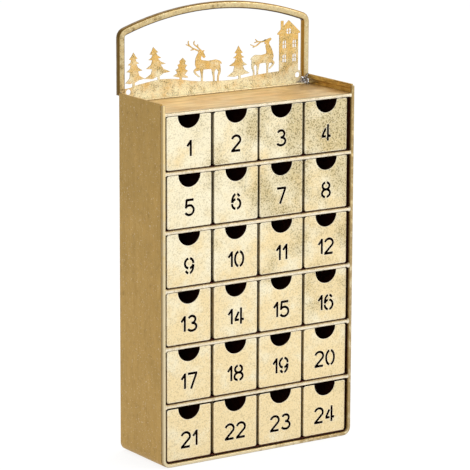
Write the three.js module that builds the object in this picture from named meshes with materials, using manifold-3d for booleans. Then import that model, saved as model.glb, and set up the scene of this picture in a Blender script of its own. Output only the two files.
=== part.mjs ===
// Metal advent calendar: a sheet metal cabinet of numbered drawers with a pierced crest behind its top tray.
// Millimetres. +Z is up, +X is to the right seen from the front, and the front faces -Y.
// The origin is at the bottom, in the middle of the outline.

import * as THREE from 'three';
import { mergeVertices } from 'three/addons/utils/BufferGeometryUtils.js';
import Module from 'manifold-3d';

const wasm = await Module();
wasm.setup();

// Cabinet
const cabinetWidth = 250;
const cabinetHeight = 400;
const cabinetDepth = 88;
const columns = 4;
const rows = 6;
const shellSheet = 0.9;
const shellCornerRadius = 9.5;
const hemThickness = 2.4;
const hemHeight = 4.5;
const panelSheet = 0.7;
const cornerClearance = 0.3;
const trayDepth = 10.2;
const cellInset = 5.4;
const bottomRowRise = 5.5;
const bottomRowExtra = 1.3;

// Rim and rails, the bright bars on the front
const rimWidth = 3.6;
const rimDepth = 4;
const rimRounding = 1.3;
const rimBelowHem = 1;
const railHeight = 4.6;
const railDepth = 3.6;
const railRounding = 1.3;
const railAboveTray = 0.9;

// Dividers between the columns
const dividerSetback = 8;
const slotClearance = 0.3;

// Drawers
const drawerSheet = 0.6;
const drawerRecess = 3.4;
const drawerSideClearance = 1.65;
const drawerTopClearance = 0.6;
const drawerBottomClearance = 0.3;
const drawerRearClearance = 0.4;
const drawerCornerRadius = 2.6;
const drawerBendRadius = 2;
const drawerSideDrop = 2;
const notchRadius = 14.1;

// Numbers cut through the drawer fronts
const numeralHeight = 19.2;
const numeralWidth = 13.5;
const oneWidth = 7.4;
const numeralStroke = 2.6;
const numeralGap = 1.3;
const numeralRise = 22.4;

// Crest frame, a bent square bar behind the cabinet
const crestHeight = 90.2;
const crestBar = 8.4;
const crestBarDepth = 7.4;
const crestArchRadius = 349;
const crestCornerRadius = 11;
const crestBevel = 0.8;
const crestPostOverlap = 3;

// Crest silhouette plate
const plateSheet = 0.8;
const plateFlange = 8;
const hangingHoleRadius = 3.1;
const hangingHoleInset = 5.6;
const hangingHoleRise = 9.6;

// Solder beads in the lower corners of the crest
const solderWidth = 8;
const solderDepth = 5;
const solderHeight = 6;

// Flat facets that stand in for a round stretch, and how far a cutter reaches past what it cuts
const wrapFacets = 5;
const beadFacets = 4;
const drawerCornerFacets = 2;
const drawerBendFacets = 1;
const easingFacets = 1;
const notchFacets = 12;
const numeralFacetDegrees = 33;
const archFacets = 5;
const holeFacets = 9;
const silhouetteFacets = 3;
const roundSilhouetteFacets = 6;
const cutMargin = 1;

// Places that follow from the sizes above
const halfWidth = cabinetWidth / 2;
const totalDepth = cabinetDepth + crestBarDepth;
const frontY = -totalDepth / 2;
const cabinetRearY = frontY + cabinetDepth;
const rimRearY = frontY + rimDepth;
const railFrontY = rimRearY - railDepth;
const backPanelFrontY = cabinetRearY - panelSheet;
const innerHalfWidth = halfWidth - shellSheet;
const rimInnerX = halfWidth - rimWidth;
const cellsHalfWidth = halfWidth - cellInset;
const trayFloorZ = cabinetHeight - trayDepth;
const topRailTopZ = trayFloorZ + railAboveTray;
const topRailBottomZ = topRailTopZ - railHeight;
const rowPitch = (topRailBottomZ - bottomRowRise - bottomRowExtra + railHeight) / rows;
const cellHeight = rowPitch - railHeight;
const columnPitch = (2 * cellsHalfWidth) / columns;
const archCentreZ = cabinetHeight + crestHeight - crestArchRadius;
const plateFrontY = cabinetRearY + (crestBarDepth - plateSheet) / 2;
const flangeFrontY = plateFrontY + plateSheet - plateFlange;

const brightGold = new THREE.MeshStandardMaterial({ color: 0xe6d3a3, roughness: 0.35, metalness: 0.9 });
const paleGold = new THREE.MeshStandardMaterial({ color: 0xe2cf9c, roughness: 0.45, metalness: 0.85 });
const darkGold = new THREE.MeshStandardMaterial({ color: 0xa8854c, roughness: 0.5, metalness: 0.85 });
const trayGold = new THREE.MeshStandardMaterial({ color: 0xd9ad68, roughness: 0.5, metalness: 0.8 });
const solderGrey = new THREE.MeshStandardMaterial({ color: 0xb9b2a6, roughness: 0.5, metalness: 0.8 });

// Height of the floor of a row of drawers, counted from the bottom row, which has a little more headroom
function rowFloorZ(rowFromBottom) {
  const extra = rowFromBottom > 0 ? bottomRowExtra : 0;
  return bottomRowRise + extra + rowFromBottom * rowPitch;
}

// Middle of a column of drawers, counted from the left
function columnX(column) {
  return -cellsHalfWidth + (column + 0.5) * columnPitch;
}

// Underside of the arched bar above a place along the width
function archUndersideZ(x) {
  return archCentreZ + Math.sqrt((crestArchRadius - crestBar) ** 2 - x ** 2);
}

// Extrudes an outline drawn in X and Z, as seen from the front, between two values of Y
function prismXZ(shape, nearY, farY, curveSegments = wrapFacets) {
  const depth = farY - nearY;
  const geometry = new THREE.ExtrudeGeometry(shape, { depth, bevelEnabled: false, curveSegments });
  geometry.rotateX(Math.PI / 2);
  geometry.translate(0, farY, 0);
  return geometry;
}

// Extrudes an outline drawn in Y and Z, as seen from the right, between two values of X
function prismYZ(shape, leftX, rightX, curveSegments = beadFacets) {
  const depth = rightX - leftX;
  const geometry = new THREE.ExtrudeGeometry(shape, { depth, bevelEnabled: false, curveSegments });
  geometry.applyMatrix4(new THREE.Matrix4().set(0, 0, 1, 0, 1, 0, 0, 0, 0, 1, 0, 0, 0, 0, 0, 1));
  geometry.translate(leftX, 0, 0);
  return geometry;
}

// Extrudes an outline drawn in X and Y, as seen from above, between two values of Z
function prismXY(shape, bottomZ, topZ) {
  const geometry = new THREE.ExtrudeGeometry(shape, { depth: topZ - bottomZ, bevelEnabled: false });
  geometry.translate(0, 0, bottomZ);
  return geometry;
}

function block(leftX, rightX, nearY, farY, bottomZ, topZ) {
  const geometry = new THREE.BoxGeometry(rightX - leftX, farY - nearY, topZ - bottomZ);
  geometry.translate((leftX + rightX) / 2, (nearY + farY) / 2, (bottomZ + topZ) / 2);
  return geometry;
}

// Turns a closed geometry into a solid that can be joined and cut
function solidFrom(geometry) {
  const bare = geometry.clone();
  bare.deleteAttribute('normal');
  bare.deleteAttribute('uv');
  const merged = mergeVertices(bare, 1e-4);
  const vertProperties = new Float32Array(merged.attributes.position.array);
  const triVerts = new Uint32Array(merged.index.array);
  return new wasm.Manifold(new wasm.Mesh({ numProp: 3, vertProperties, triVerts }));
}

function geometryFrom(solid) {
  const mesh = solid.getMesh();
  const geometry = new THREE.BufferGeometry();
  geometry.setAttribute('position', new THREE.BufferAttribute(mesh.vertProperties, mesh.numProp));
  geometry.setIndex(new THREE.BufferAttribute(mesh.triVerts, 1));
  const faceted = geometry.toNonIndexed();
  faceted.computeVertexNormals();
  return faceted;
}

function join(geometries) {
  return geometries.map(solidFrom).reduce((whole, next) => whole.add(next));
}

function cutAll(solid, geometries) {
  return geometries.map(solidFrom).reduce((whole, tool) => whole.subtract(tool), solid);
}

function roundedRectangle(left, right, bottom, top, radius) {
  const shape = new THREE.Shape();
  shape.moveTo(left + radius, bottom);
  shape.lineTo(right - radius, bottom);
  shape.absarc(right - radius, bottom + radius, radius, -Math.PI / 2, 0);
  shape.lineTo(right, top - radius);
  shape.absarc(right - radius, top - radius, radius, 0, Math.PI / 2);
  shape.lineTo(left + radius, top);
  shape.absarc(left + radius, top - radius, radius, Math.PI / 2, Math.PI);
  shape.lineTo(left, bottom + radius);
  shape.absarc(left + radius, bottom + radius, radius, Math.PI, 1.5 * Math.PI);
  return shape;
}

// The U of the shell and the rim: outside along the outer face, back along the inner face
function wrapShape(wall, top, hem) {
  const shape = new THREE.Shape();
  const arcX = halfWidth - shellCornerRadius;
  shape.moveTo(-halfWidth, top);
  shape.lineTo(-halfWidth, shellCornerRadius);
  shape.absarc(-arcX, shellCornerRadius, shellCornerRadius, Math.PI, 1.5 * Math.PI);
  shape.lineTo(arcX, 0);
  shape.absarc(arcX, shellCornerRadius, shellCornerRadius, 1.5 * Math.PI, 2 * Math.PI);
  shape.lineTo(halfWidth, top);
  shape.lineTo(halfWidth - hem.thickness, top);
  shape.lineTo(halfWidth - hem.thickness, top - hem.height);
  shape.lineTo(halfWidth - wall, top - hem.height - (hem.thickness - wall));
  shape.lineTo(halfWidth - wall, shellCornerRadius);
  shape.absarc(arcX, shellCornerRadius, shellCornerRadius - wall, 2 * Math.PI, 1.5 * Math.PI, true);
  shape.lineTo(-arcX, wall);
  shape.absarc(-arcX, shellCornerRadius, shellCornerRadius - wall, 1.5 * Math.PI, Math.PI, true);
  shape.lineTo(-halfWidth + wall, top - hem.height - (hem.thickness - wall));
  shape.lineTo(-halfWidth + hem.thickness, top - hem.height);
  shape.lineTo(-halfWidth + hem.thickness, top);
  shape.closePath();
  return shape;
}

// A prism whose front and rear edges are eased, with the outline kept at full size
function easedPrismXZ(shape, nearY, farY, easing, curveSegments) {
  const geometry = new THREE.ExtrudeGeometry(shape, {
    depth: farY - nearY - 2 * easing,
    bevelThickness: easing,
    bevelSize: easing,
    bevelOffset: -easing,
    bevelSegments: easingFacets,
    curveSegments,
  });
  geometry.rotateX(Math.PI / 2);
  geometry.translate(0, farY - easing, 0);
  return geometry;
}

function outerShell() {
  const hem = { thickness: hemThickness, height: hemHeight };
  return prismXZ(wrapShape(shellSheet, cabinetHeight, hem), rimRearY, cabinetRearY);
}

// The rim is a full bead at the front and flat behind, where it meets the shell and the shelves
function frontRim() {
  const plain = { thickness: rimWidth, height: 0 };
  const outline = wrapShape(rimWidth, cabinetHeight - rimBelowHem, plain);
  const bead = easedPrismXZ(outline, frontY, rimRearY + 2 * rimRounding, rimRounding, wrapFacets);
  const reachX = halfWidth + cutMargin;
  const behind = block(-reachX, reachX, rimRearY, cabinetRearY, -cutMargin, cabinetHeight + cutMargin);
  return geometryFrom(cutAll(solidFrom(bead), [behind]));
}

function rail(bottomZ) {
  const section = new THREE.Shape();
  const topZ = bottomZ + railHeight;
  section.moveTo(rimRearY, bottomZ);
  section.lineTo(rimRearY, topZ);
  section.lineTo(railFrontY + railRounding, topZ);
  section.absarc(railFrontY + railRounding, topZ - railRounding, railRounding, Math.PI / 2, Math.PI);
  section.lineTo(railFrontY, bottomZ + railRounding);
  section.absarc(railFrontY + railRounding, bottomZ + railRounding, railRounding, Math.PI, 1.5 * Math.PI);
  section.closePath();
  return prismYZ(section, -rimInnerX, rimInnerX);
}

function backPanel() {
  const radius = shellCornerRadius - shellSheet + cornerClearance;
  const arcX = innerHalfWidth - radius;
  const arcZ = shellSheet + radius;
  const shape = new THREE.Shape();
  shape.moveTo(-innerHalfWidth, trayFloorZ);
  shape.lineTo(-innerHalfWidth, arcZ);
  shape.absarc(-arcX, arcZ, radius, Math.PI, 1.5 * Math.PI);
  shape.lineTo(arcX, shellSheet);
  shape.absarc(arcX, arcZ, radius, 1.5 * Math.PI, 2 * Math.PI);
  shape.lineTo(innerHalfWidth, trayFloorZ);
  shape.closePath();
  return prismXZ(shape, backPanelFrontY, cabinetRearY);
}

// The floor of the tray, parted along the line where the crest plate's flange begins to cover it
function topPanel() {
  const geometry = new THREE.BoxGeometry(2 * innerHalfWidth, 2, panelSheet, 1, 2, 1);
  const lineY = { '-1': rimRearY, 0: flangeFrontY, 1: backPanelFrontY };
  const places = geometry.attributes.position;
  for (let index = 0; index < places.count; index += 1) {
    places.setY(index, lineY[Math.round(places.getY(index))]);
  }
  geometry.translate(0, 0, trayFloorZ - panelSheet / 2);
  return geometry;
}

// Dividers and shelves cross like an egg crate: shelves are slotted from the rear, dividers from the front
const crossingY = (rimRearY + backPanelFrontY) / 2;
const slotWidth = panelSheet + 2 * slotClearance;

// Half width of a shelf, which the rounded corner narrows in the bottom row
function shelfHalfWidth(bottomZ) {
  if (bottomZ >= shellCornerRadius) {
    return innerHalfWidth;
  }
  const innerRadius = shellCornerRadius - shellSheet;
  const rise = shellCornerRadius - bottomZ;
  return halfWidth - shellCornerRadius + Math.sqrt(innerRadius ** 2 - rise ** 2) - cornerClearance;
}

function shelf(topZ, slotted) {
  const side = shelfHalfWidth(topZ - panelSheet);
  const shape = new THREE.Shape();
  shape.moveTo(-side, rimRearY);
  shape.lineTo(side, rimRearY);
  shape.lineTo(side, backPanelFrontY);
  if (slotted) {
    for (let divider = columns - 1; divider > 0; divider -= 1) {
      const x = -cellsHalfWidth + divider * columnPitch;
      shape.lineTo(x + slotWidth / 2, backPanelFrontY);
      shape.lineTo(x + slotWidth / 2, crossingY);
      shape.lineTo(x - slotWidth / 2, crossingY);
      shape.lineTo(x - slotWidth / 2, backPanelFrontY);
    }
  }
  shape.lineTo(-side, backPanelFrontY);
  shape.closePath();
  return prismXY(shape, topZ - panelSheet, topZ);
}

function divider(x) {
  const dividerFrontY = rimRearY + dividerSetback;
  const shape = new THREE.Shape();
  shape.moveTo(dividerFrontY, rowFloorZ(0));
  shape.lineTo(backPanelFrontY, rowFloorZ(0));
  shape.lineTo(backPanelFrontY, trayFloorZ - panelSheet);
  shape.lineTo(dividerFrontY, trayFloorZ - panelSheet);
  for (let row = rows - 1; row > 0; row -= 1) {
    const shelfMiddleZ = rowFloorZ(row) - panelSheet / 2;
    shape.lineTo(dividerFrontY, shelfMiddleZ + slotWidth / 2);
    shape.lineTo(crossingY + slotClearance, shelfMiddleZ + slotWidth / 2);
    shape.lineTo(crossingY + slotClearance, shelfMiddleZ - slotWidth / 2);
    shape.lineTo(dividerFrontY, shelfMiddleZ - slotWidth / 2);
  }
  shape.closePath();
  return prismYZ(shape, x - panelSheet / 2, x + panelSheet / 2);
}

// A band of even or changing width along a row of points in X and Z
function band(points, widths) {
  const left = [];
  const right = [];
  points.forEach((point, index) => {
    const before = points[Math.max(index - 1, 0)];
    const after = points[Math.min(index + 1, points.length - 1)];
    const along = new THREE.Vector2().subVectors(after, before).normalize();
    const half = widths[index] / 2;
    left.push(new THREE.Vector2(point.x - along.y * half, point.y + along.x * half));
    right.push(new THREE.Vector2(point.x + along.y * half, point.y - along.x * half));
  });
  return new THREE.Shape([...right, ...left.reverse()]);
}

// Strokes of the stencil numerals in a box one wide and one high.
// A line is [u, v, u, v]; an arc is [centre u, centre v, radius u, radius v, start degrees, end degrees].
const numeralStrokes = {
  0: [
    [0.5, 0.5, 0.5, 0.5, 100, 260],
    [0.5, 0.5, 0.5, 0.5, 80, -80],
  ],
  1: [
    [1, 0, 1, 1.06],
    [1.08, 1.02, 0.02, 0.66],
  ],
  2: [
    [0.5, 0.71, 0.5, 0.29, 165, -38],
    [0.91, 0.55, 0.02, 0.01],
    [-0.09, 0, 1, 0],
  ],
  3: [
    [0.46, 0.76, 0.42, 0.24, 155, -95],
    [0.48, 0.26, 0.52, 0.26, 98, -155],
  ],
  4: [
    [0.46, 0.8, 0.03, 0.28],
    [-0.04, 0.25, 0.5, 0.25],
    [0.74, -0.06, 0.74, 1.06],
    [0.74, 0.25, 1.1, 0.25],
  ],
  5: [
    [0.1, 1, 1, 1],
    [0.17, 1.05, 0.08, 0.46],
    [0.48, 0.32, 0.52, 0.32, 143, -152],
  ],
  6: [
    [0.5, 0.33, 0.5, 0.33, -80, 80],
    [0.5, 0.33, 0.5, 0.33, 100, 165],
    [0.5, 0.5, 0.5, 0.5, 100, 185],
    [0.5, 0.33, 0.5, 0.33, 175, 260],
    [0.5, 0.5, 0.5, 0.5, 80, 38],
  ],
  7: [
    [-0.04, 1, 1.09, 1],
    [1, 1, 0.34, -0.05],
  ],
  8: [
    [0.5, 0.76, 0.43, 0.24, 102, 275],
    [0.5, 0.76, 0.43, 0.24, 78, -95],
    [0.5, 0.26, 0.5, 0.26, 85, 258],
    [0.5, 0.26, 0.5, 0.26, 95, -78],
  ],
};

// A nine is a six turned half round
numeralStrokes[9] = numeralStrokes[6].map(
  ([u, v, radiusU, radiusV, start, end]) => [1 - u, 1 - v, radiusU, radiusV, start + 180, end + 180],
);

function strokePoints(stroke) {
  if (stroke.length === 4) {
    const [startU, startV, endU, endV] = stroke;
    return [new THREE.Vector2(startU, startV), new THREE.Vector2(endU, endV)];
  }
  const [centreU, centreV, radiusU, radiusV, startDegrees, endDegrees] = stroke;
  const steps = Math.ceil(Math.abs(endDegrees - startDegrees) / numeralFacetDegrees);
  return Array.from({ length: steps + 1 }, (unused, step) => {
    const angle = THREE.MathUtils.degToRad(startDegrees + ((endDegrees - startDegrees) * step) / steps);
    return new THREE.Vector2(centreU + radiusU * Math.cos(angle), centreV + radiusV * Math.sin(angle));
  });
}

// The cutters for a number, centred on x = 0 at a height on a front that lies at y = 0
function numberCutters(number, middleZ) {
  const digits = String(number).split('');
  const glyphWidth = (digit) => (digit === '1' ? oneWidth : numeralWidth);
  const wholeWidth = digits.reduce((sum, digit) => sum + glyphWidth(digit), numeralGap * (digits.length - 1));
  const cutters = [];
  let left = -wholeWidth / 2;
  for (const digit of digits) {
    const spanX = glyphWidth(digit) - numeralStroke;
    const spanZ = numeralHeight - numeralStroke;
    for (const stroke of numeralStrokes[digit]) {
      const points = strokePoints(stroke).map(
        (point) =>
          new THREE.Vector2(left + numeralStroke / 2 + point.x * spanX, middleZ + (point.y - 0.5) * spanZ),
      );
      const outline = band(points, points.map(() => numeralStroke));
      cutters.push(prismXZ(outline, -cutMargin, drawerSheet + cutMargin));
    }
    left += glyphWidth(digit) + numeralGap;
  }
  return cutters;
}

const drawerWidth = columnPitch - 2 * drawerSideClearance;
const drawerHeight = cellHeight - drawerBottomClearance - drawerTopClearance;
const drawerDepth = backPanelFrontY - drawerRearClearance - (frontY + drawerRecess);

// A box with rounded edges along its depth and bent edges where the floor meets the front and the rear
function foldedBlock(inset, top) {
  const side = drawerWidth / 2 - inset;
  const across = roundedRectangle(-side, side, inset, top, drawerCornerRadius - inset);
  const bend = drawerBendRadius - inset;
  const along = roundedRectangle(inset, drawerDepth - inset, inset, top + 2 * drawerBendRadius, bend);
  const crossSolid = solidFrom(prismXZ(across, -cutMargin, drawerDepth + cutMargin, drawerCornerFacets));
  return crossSolid.intersect(solidFrom(prismYZ(along, -drawerWidth, drawerWidth, drawerBendFacets)));
}

// One folded sheet with an open top, in its own axes: x = 0 in the middle, y = 0 at the front, z = 0 below
function drawerBox(number) {
  const folded = foldedBlock(0, drawerHeight).subtract(foldedBlock(drawerSheet, 2 * drawerHeight));
  const aboveSides = block(
    -drawerWidth,
    drawerWidth,
    drawerSheet,
    drawerDepth + cutMargin,
    drawerHeight - drawerSideDrop,
    drawerHeight + cutMargin,
  );
  const notch = new THREE.Shape();
  notch.absarc(0, drawerHeight, notchRadius, 0, 2 * Math.PI);
  const notchCutter = prismXZ(notch, -cutMargin, drawerSheet + cutMargin, notchFacets);
  const numeralZ = numeralRise - drawerBottomClearance;
  return geometryFrom(cutAll(folded, [aboveSides, notchCutter, ...numberCutters(number, numeralZ)]));
}

// Outline of the crest frame: up one post, over the arch and down the other, then back inside the bar
function crestFrame() {
  const cornerX = halfWidth - crestCornerRadius;
  const cornerZ = archCentreZ + Math.sqrt((crestArchRadius - crestCornerRadius) ** 2 - cornerX ** 2);
  const turn = Math.atan2(cornerZ - archCentreZ, cornerX);
  const footZ = cabinetHeight - crestPostOverlap;
  const innerX = halfWidth - crestBar;
  const shape = new THREE.Shape();
  shape.moveTo(-halfWidth, footZ);
  shape.lineTo(-innerX, footZ);
  shape.lineTo(-innerX, cornerZ);
  shape.absarc(-cornerX, cornerZ, crestCornerRadius - crestBar, Math.PI, Math.PI - turn, true);
  shape.absarc(0, archCentreZ, crestArchRadius - crestBar, Math.PI - turn, turn, true);
  shape.absarc(cornerX, cornerZ, crestCornerRadius - crestBar, turn, 0, true);
  shape.lineTo(innerX, footZ);
  shape.lineTo(halfWidth, footZ);
  shape.lineTo(halfWidth, cornerZ);
  shape.absarc(cornerX, cornerZ, crestCornerRadius, 0, turn);
  shape.absarc(0, archCentreZ, crestArchRadius, turn, Math.PI - turn);
  shape.absarc(-cornerX, cornerZ, crestCornerRadius, Math.PI - turn, Math.PI);
  shape.closePath();
  return easedPrismXZ(shape, cabinetRearY, cabinetRearY + crestBarDepth, crestBevel, archFacets);
}

const plateHalfWidth = halfWidth - crestBar;
const plateBottomZ = trayFloorZ;

function plateSlice(shape, curveSegments = silhouetteFacets) {
  return prismXZ(shape, plateFrontY, plateFrontY + plateSheet, curveSegments);
}

function plateCutter(shape, curveSegments) {
  return prismXZ(shape, plateFrontY - cutMargin, plateFrontY + plateSheet + cutMargin, curveSegments);
}

// The snowy ground at the foot of the crest, as [share of the half width, height above the bottom edge]
const groundHeights = [
  [-1, 13.2],
  [-0.93, 14],
  [-0.88, 15.8],
  [-0.76, 17.9],
  [-0.6, 20],
  [-0.42, 18.6],
  [-0.25, 14.8],
  [-0.05, 12.4],
  [0.18, 11.5],
  [0.3, 12.2],
  [0.45, 13.9],
  [0.66, 15.4],
  [0.9, 16],
  [1, 13.6],
];

function groundPoints() {
  return groundHeights.map(
    ([share, height]) => new THREE.Vector2(share * plateHalfWidth, plateBottomZ + height),
  );
}

function ground() {
  const shape = new THREE.Shape();
  shape.moveTo(plateHalfWidth, plateBottomZ);
  const [first, ...rest] = groundPoints().reverse();
  shape.lineTo(first.x, first.y);
  shape.splineThru(rest);
  shape.lineTo(-plateHalfWidth, plateBottomZ);
  shape.closePath();
  return plateSlice(shape);
}

// How a fir is drawn: shares of its branches' reach and spacing, and of its height for the trunk
const firForm = {
  trunkHalfWidth: 1.4,
  trunkFoot: 3,
  trunkTop: 0.1,
  upperReach: 0.5,
  upperRise: 0.42,
  underDrop: 0.1,
};

// A fir with drooping branches. Each tip is [reach from the leaning axis, height], from the top down.
// Below a tip the outline steps back in to a share of its reach.
function fir({ x, footZ, height, lean, step, leftTips, rightTips }) {
  const at = (across, up) => new THREE.Vector2(x + across + lean * (up / height), footZ + up);
  const side = (sign, tips) => {
    const points = [];
    tips.forEach(([reach, up], index) => {
      const above = index > 0 ? tips[index - 1][1] : height;
      const spacing = above - up;
      points.push(at(sign * reach * firForm.upperReach, up + spacing * firForm.upperRise));
      points.push(at(sign * reach, up));
      points.push(at(sign * reach * step, up - spacing * firForm.underDrop));
    });
    points.push(at(sign * firForm.trunkHalfWidth, height * firForm.trunkTop));
    points.push(at(sign * firForm.trunkHalfWidth, -firForm.trunkFoot));
    return points;
  };
  const outline = [at(0, height), ...side(-1, leftTips), ...side(1, rightTips).reverse()];
  return plateSlice(new THREE.Shape(outline));
}

// A limb or a neck: a smooth band through a few points, each given as [x, z, width]
function limb(place, stations) {
  const curve = new THREE.SplineCurve(stations.map(([x, z]) => new THREE.Vector2(x, z)));
  const count = (stations.length - 1) * silhouetteFacets;
  const points = curve.getPoints(count);
  const widths = points.map((unused, index) => {
    const position = (index / count) * (stations.length - 1);
    const start = Math.min(Math.floor(position), stations.length - 2);
    return THREE.MathUtils.lerp(stations[start][2], stations[start + 1][2], position - start);
  });
  const scaleX = place.facing * place.length;
  const placed = points.map(
    (point) => new THREE.Vector2(place.x + scaleX * point.x, place.z + place.rise * point.y),
  );
  return plateSlice(band(placed, widths));
}

function disc(place, x, z, radius) {
  const shape = new THREE.Shape();
  const centreX = place.x + place.facing * place.length * x;
  shape.absarc(centreX, place.z + place.rise * z, radius, 0, 2 * Math.PI);
  return plateSlice(shape, roundSilhouetteFacets);
}

// Body, tail and legs of a stag that lifts one foreleg, drawn facing +X
function stagBody(place) {
  return [
    disc(place, -9.6, 18.6, 5.6),
    limb(place, [[-10, 18.6, 11.2], [0, 18.8, 9.2], [11, 19.6, 11.4]]),
    disc(place, 11.2, 20, 5.8),
    limb(place, [[-12, 21.4, 4.2], [-15, 20.6, 2.8], [-17.2, 19, 1]]),
    limb(place, [[-12, 17, 7.4], [-14.6, 10.6, 3.2], [-12.8, 5, 2.1], [-12.6, -2.5, 1.8]]),
    limb(place, [[-7.4, 16, 7.4], [-6.2, 10.4, 3.2], [-7, 5, 2.1], [-7.2, -2.5, 1.8]]),
    limb(place, [[9, 15.6, 5.6], [8.6, 9, 2.6], [8.4, -2.5, 2]]),
    limb(place, [[12.6, 15.6, 4.6], [18.2, 13.6, 2.4], [16.4, 10, 2], [11.6, 6.4, 1.6]]),
  ];
}

// Head looking back over the body, with the antlers laid forward
function stagLookingBack(place) {
  return [
    limb(place, [[12.4, 21, 10.6], [13.4, 26.4, 7], [11, 32.4, 4.6]]),
    disc(place, 10.4, 33.2, 3.2),
    limb(place, [[10.6, 33.6, 5.8], [7.6, 31, 4.6], [4.8, 27.4, 2.4]]),
    limb(place, [[8.6, 33.6, 2.6], [5.6, 35.4, 1]]),
    limb(place, [[11, 34.6, 1.8], [18, 37.6, 1.6], [23.2, 40.6, 1.4], [26.2, 44.4, 1.3], [26, 47.4, 1]]),
    limb(place, [[23, 40.8, 1.4], [29.2, 43.6, 1]]),
    limb(place, [[18, 37.6, 1.4], [23.2, 36.9, 1]]),
    limb(place, [[9.8, 35.4, 1.7], [14, 39.4, 1.4], [19, 43.4, 1.3], [18.2, 46.8, 1]]),
    limb(place, [[14, 39.4, 1.3], [14, 42.8, 1]]),
  ];
}

// Head held high, with the antlers laid back
function stagHeadHigh(place) {
  return [
    limb(place, [[11.8, 21, 11.4], [11.4, 28, 7.8], [8, 35.6, 5]]),
    disc(place, 7.8, 38.6, 3.1),
    limb(place, [[7, 36, 5.2], [7.6, 39.4, 4.8]]),
    limb(place, [[7.4, 39.4, 5], [11, 41, 3.6], [14.2, 42.6, 2]]),
    limb(place, [[6, 39.8, 2], [4.4, 42.2, 1]]),
    limb(place, [[6.6, 39.6, 1.7], [-1.2, 39.6, 1.5], [-6, 37, 1.4], [-11, 34.8, 1.3], [-18, 37.4, 1]]),
    limb(place, [[-10.6, 35, 1.3], [-14.2, 33.6, 1]]),
    limb(place, [[-1.2, 39.6, 1.4], [-6.6, 40.4, 1.3], [-10.4, 43.2, 1]]),
    limb(place, [[-6.4, 40.2, 1.3], [-12, 39.2, 1]]),
  ];
}

// The house stands at the right end of the plate, with its ridge just under the arched bar
const house = {
  rightInset: 4.7,
  width: 25.6,
  footRise: 10,
  ridgeClearance: 5,
  roofRise: 15.5,
  roofStep: 1.6,
  overhang: 2.4,
  chimneyInset: 3.9,
  chimneyWidth: 3.6,
  chimneyBelowRidge: 0.2,
};
const houseRight = plateHalfWidth - house.rightInset;
const houseLeft = houseRight - house.width;
const houseMiddle = (houseLeft + houseRight) / 2;
const ridgeZ = archUndersideZ(houseMiddle) - house.ridgeClearance;
const eavesZ = ridgeZ - house.roofRise;
const houseWindow = {
  width: 4.8,
  height: 9,
  bar: 0.9,
  leftInset: 6.9,
  rightInset: 5.2,
  belowEaves: [11.2, 27],
};
const roundWindow = { radius: 3.5, belowRidge: 12.4 };

function houseBody() {
  const footZ = plateBottomZ + house.footRise;
  const eavesRight = Math.min(houseRight + house.overhang, plateHalfWidth);
  const shape = new THREE.Shape();
  shape.moveTo(houseLeft, footZ);
  shape.lineTo(houseRight, footZ);
  shape.lineTo(houseRight, eavesZ);
  shape.lineTo(eavesRight, eavesZ);
  shape.lineTo(eavesRight, eavesZ + house.roofStep);
  shape.lineTo(houseMiddle, ridgeZ);
  shape.lineTo(houseLeft - house.overhang, eavesZ + house.roofStep);
  shape.lineTo(houseLeft - house.overhang, eavesZ);
  shape.lineTo(houseLeft, eavesZ);
  shape.closePath();
  const chimneyX = houseLeft + house.chimneyInset;
  const chimney = block(
    chimneyX - house.chimneyWidth / 2,
    chimneyX + house.chimneyWidth / 2,
    plateFrontY,
    plateFrontY + plateSheet,
    eavesZ,
    ridgeZ - house.chimneyBelowRidge,
  );
  return [plateSlice(shape), chimney];
}

// The upright and the level bar that cross in the middle of a window
function windowBars(x, z, reach) {
  const half = houseWindow.bar / 2;
  const nearY = plateFrontY - 2 * cutMargin;
  const farY = plateFrontY + plateSheet + 2 * cutMargin;
  return [
    block(x - half, x + half, nearY, farY, z - reach, z + reach),
    block(x - reach, x + reach, nearY, farY, z - half, z + half),
  ];
}

// Each cutter is the glass of one window, arched or round, left in four panes by its bars
function windowCutters() {
  const cutters = [];
  const half = houseWindow.width / 2;
  for (const drop of houseWindow.belowEaves) {
    for (const x of [houseLeft + houseWindow.leftInset, houseRight - houseWindow.rightInset]) {
      const z = eavesZ - drop;
      const arched = new THREE.Shape();
      arched.moveTo(x - half, z - houseWindow.height / 2);
      arched.lineTo(x + half, z - houseWindow.height / 2);
      arched.absarc(x, z + houseWindow.height / 2 - half, half, 0, Math.PI);
      arched.closePath();
      const glass = solidFrom(plateCutter(arched, silhouetteFacets));
      cutters.push(cutAll(glass, windowBars(x, z, houseWindow.height)));
    }
  }
  const roundZ = ridgeZ - roundWindow.belowRidge;
  const round = new THREE.Shape();
  round.absarc(houseMiddle, roundZ, roundWindow.radius, 0, 2 * Math.PI);
  const roundGlass = solidFrom(plateCutter(round, roundSilhouetteFacets));
  cutters.push(cutAll(roundGlass, windowBars(houseMiddle, roundZ, 2 * roundWindow.radius)));
  return cutters;
}

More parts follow.
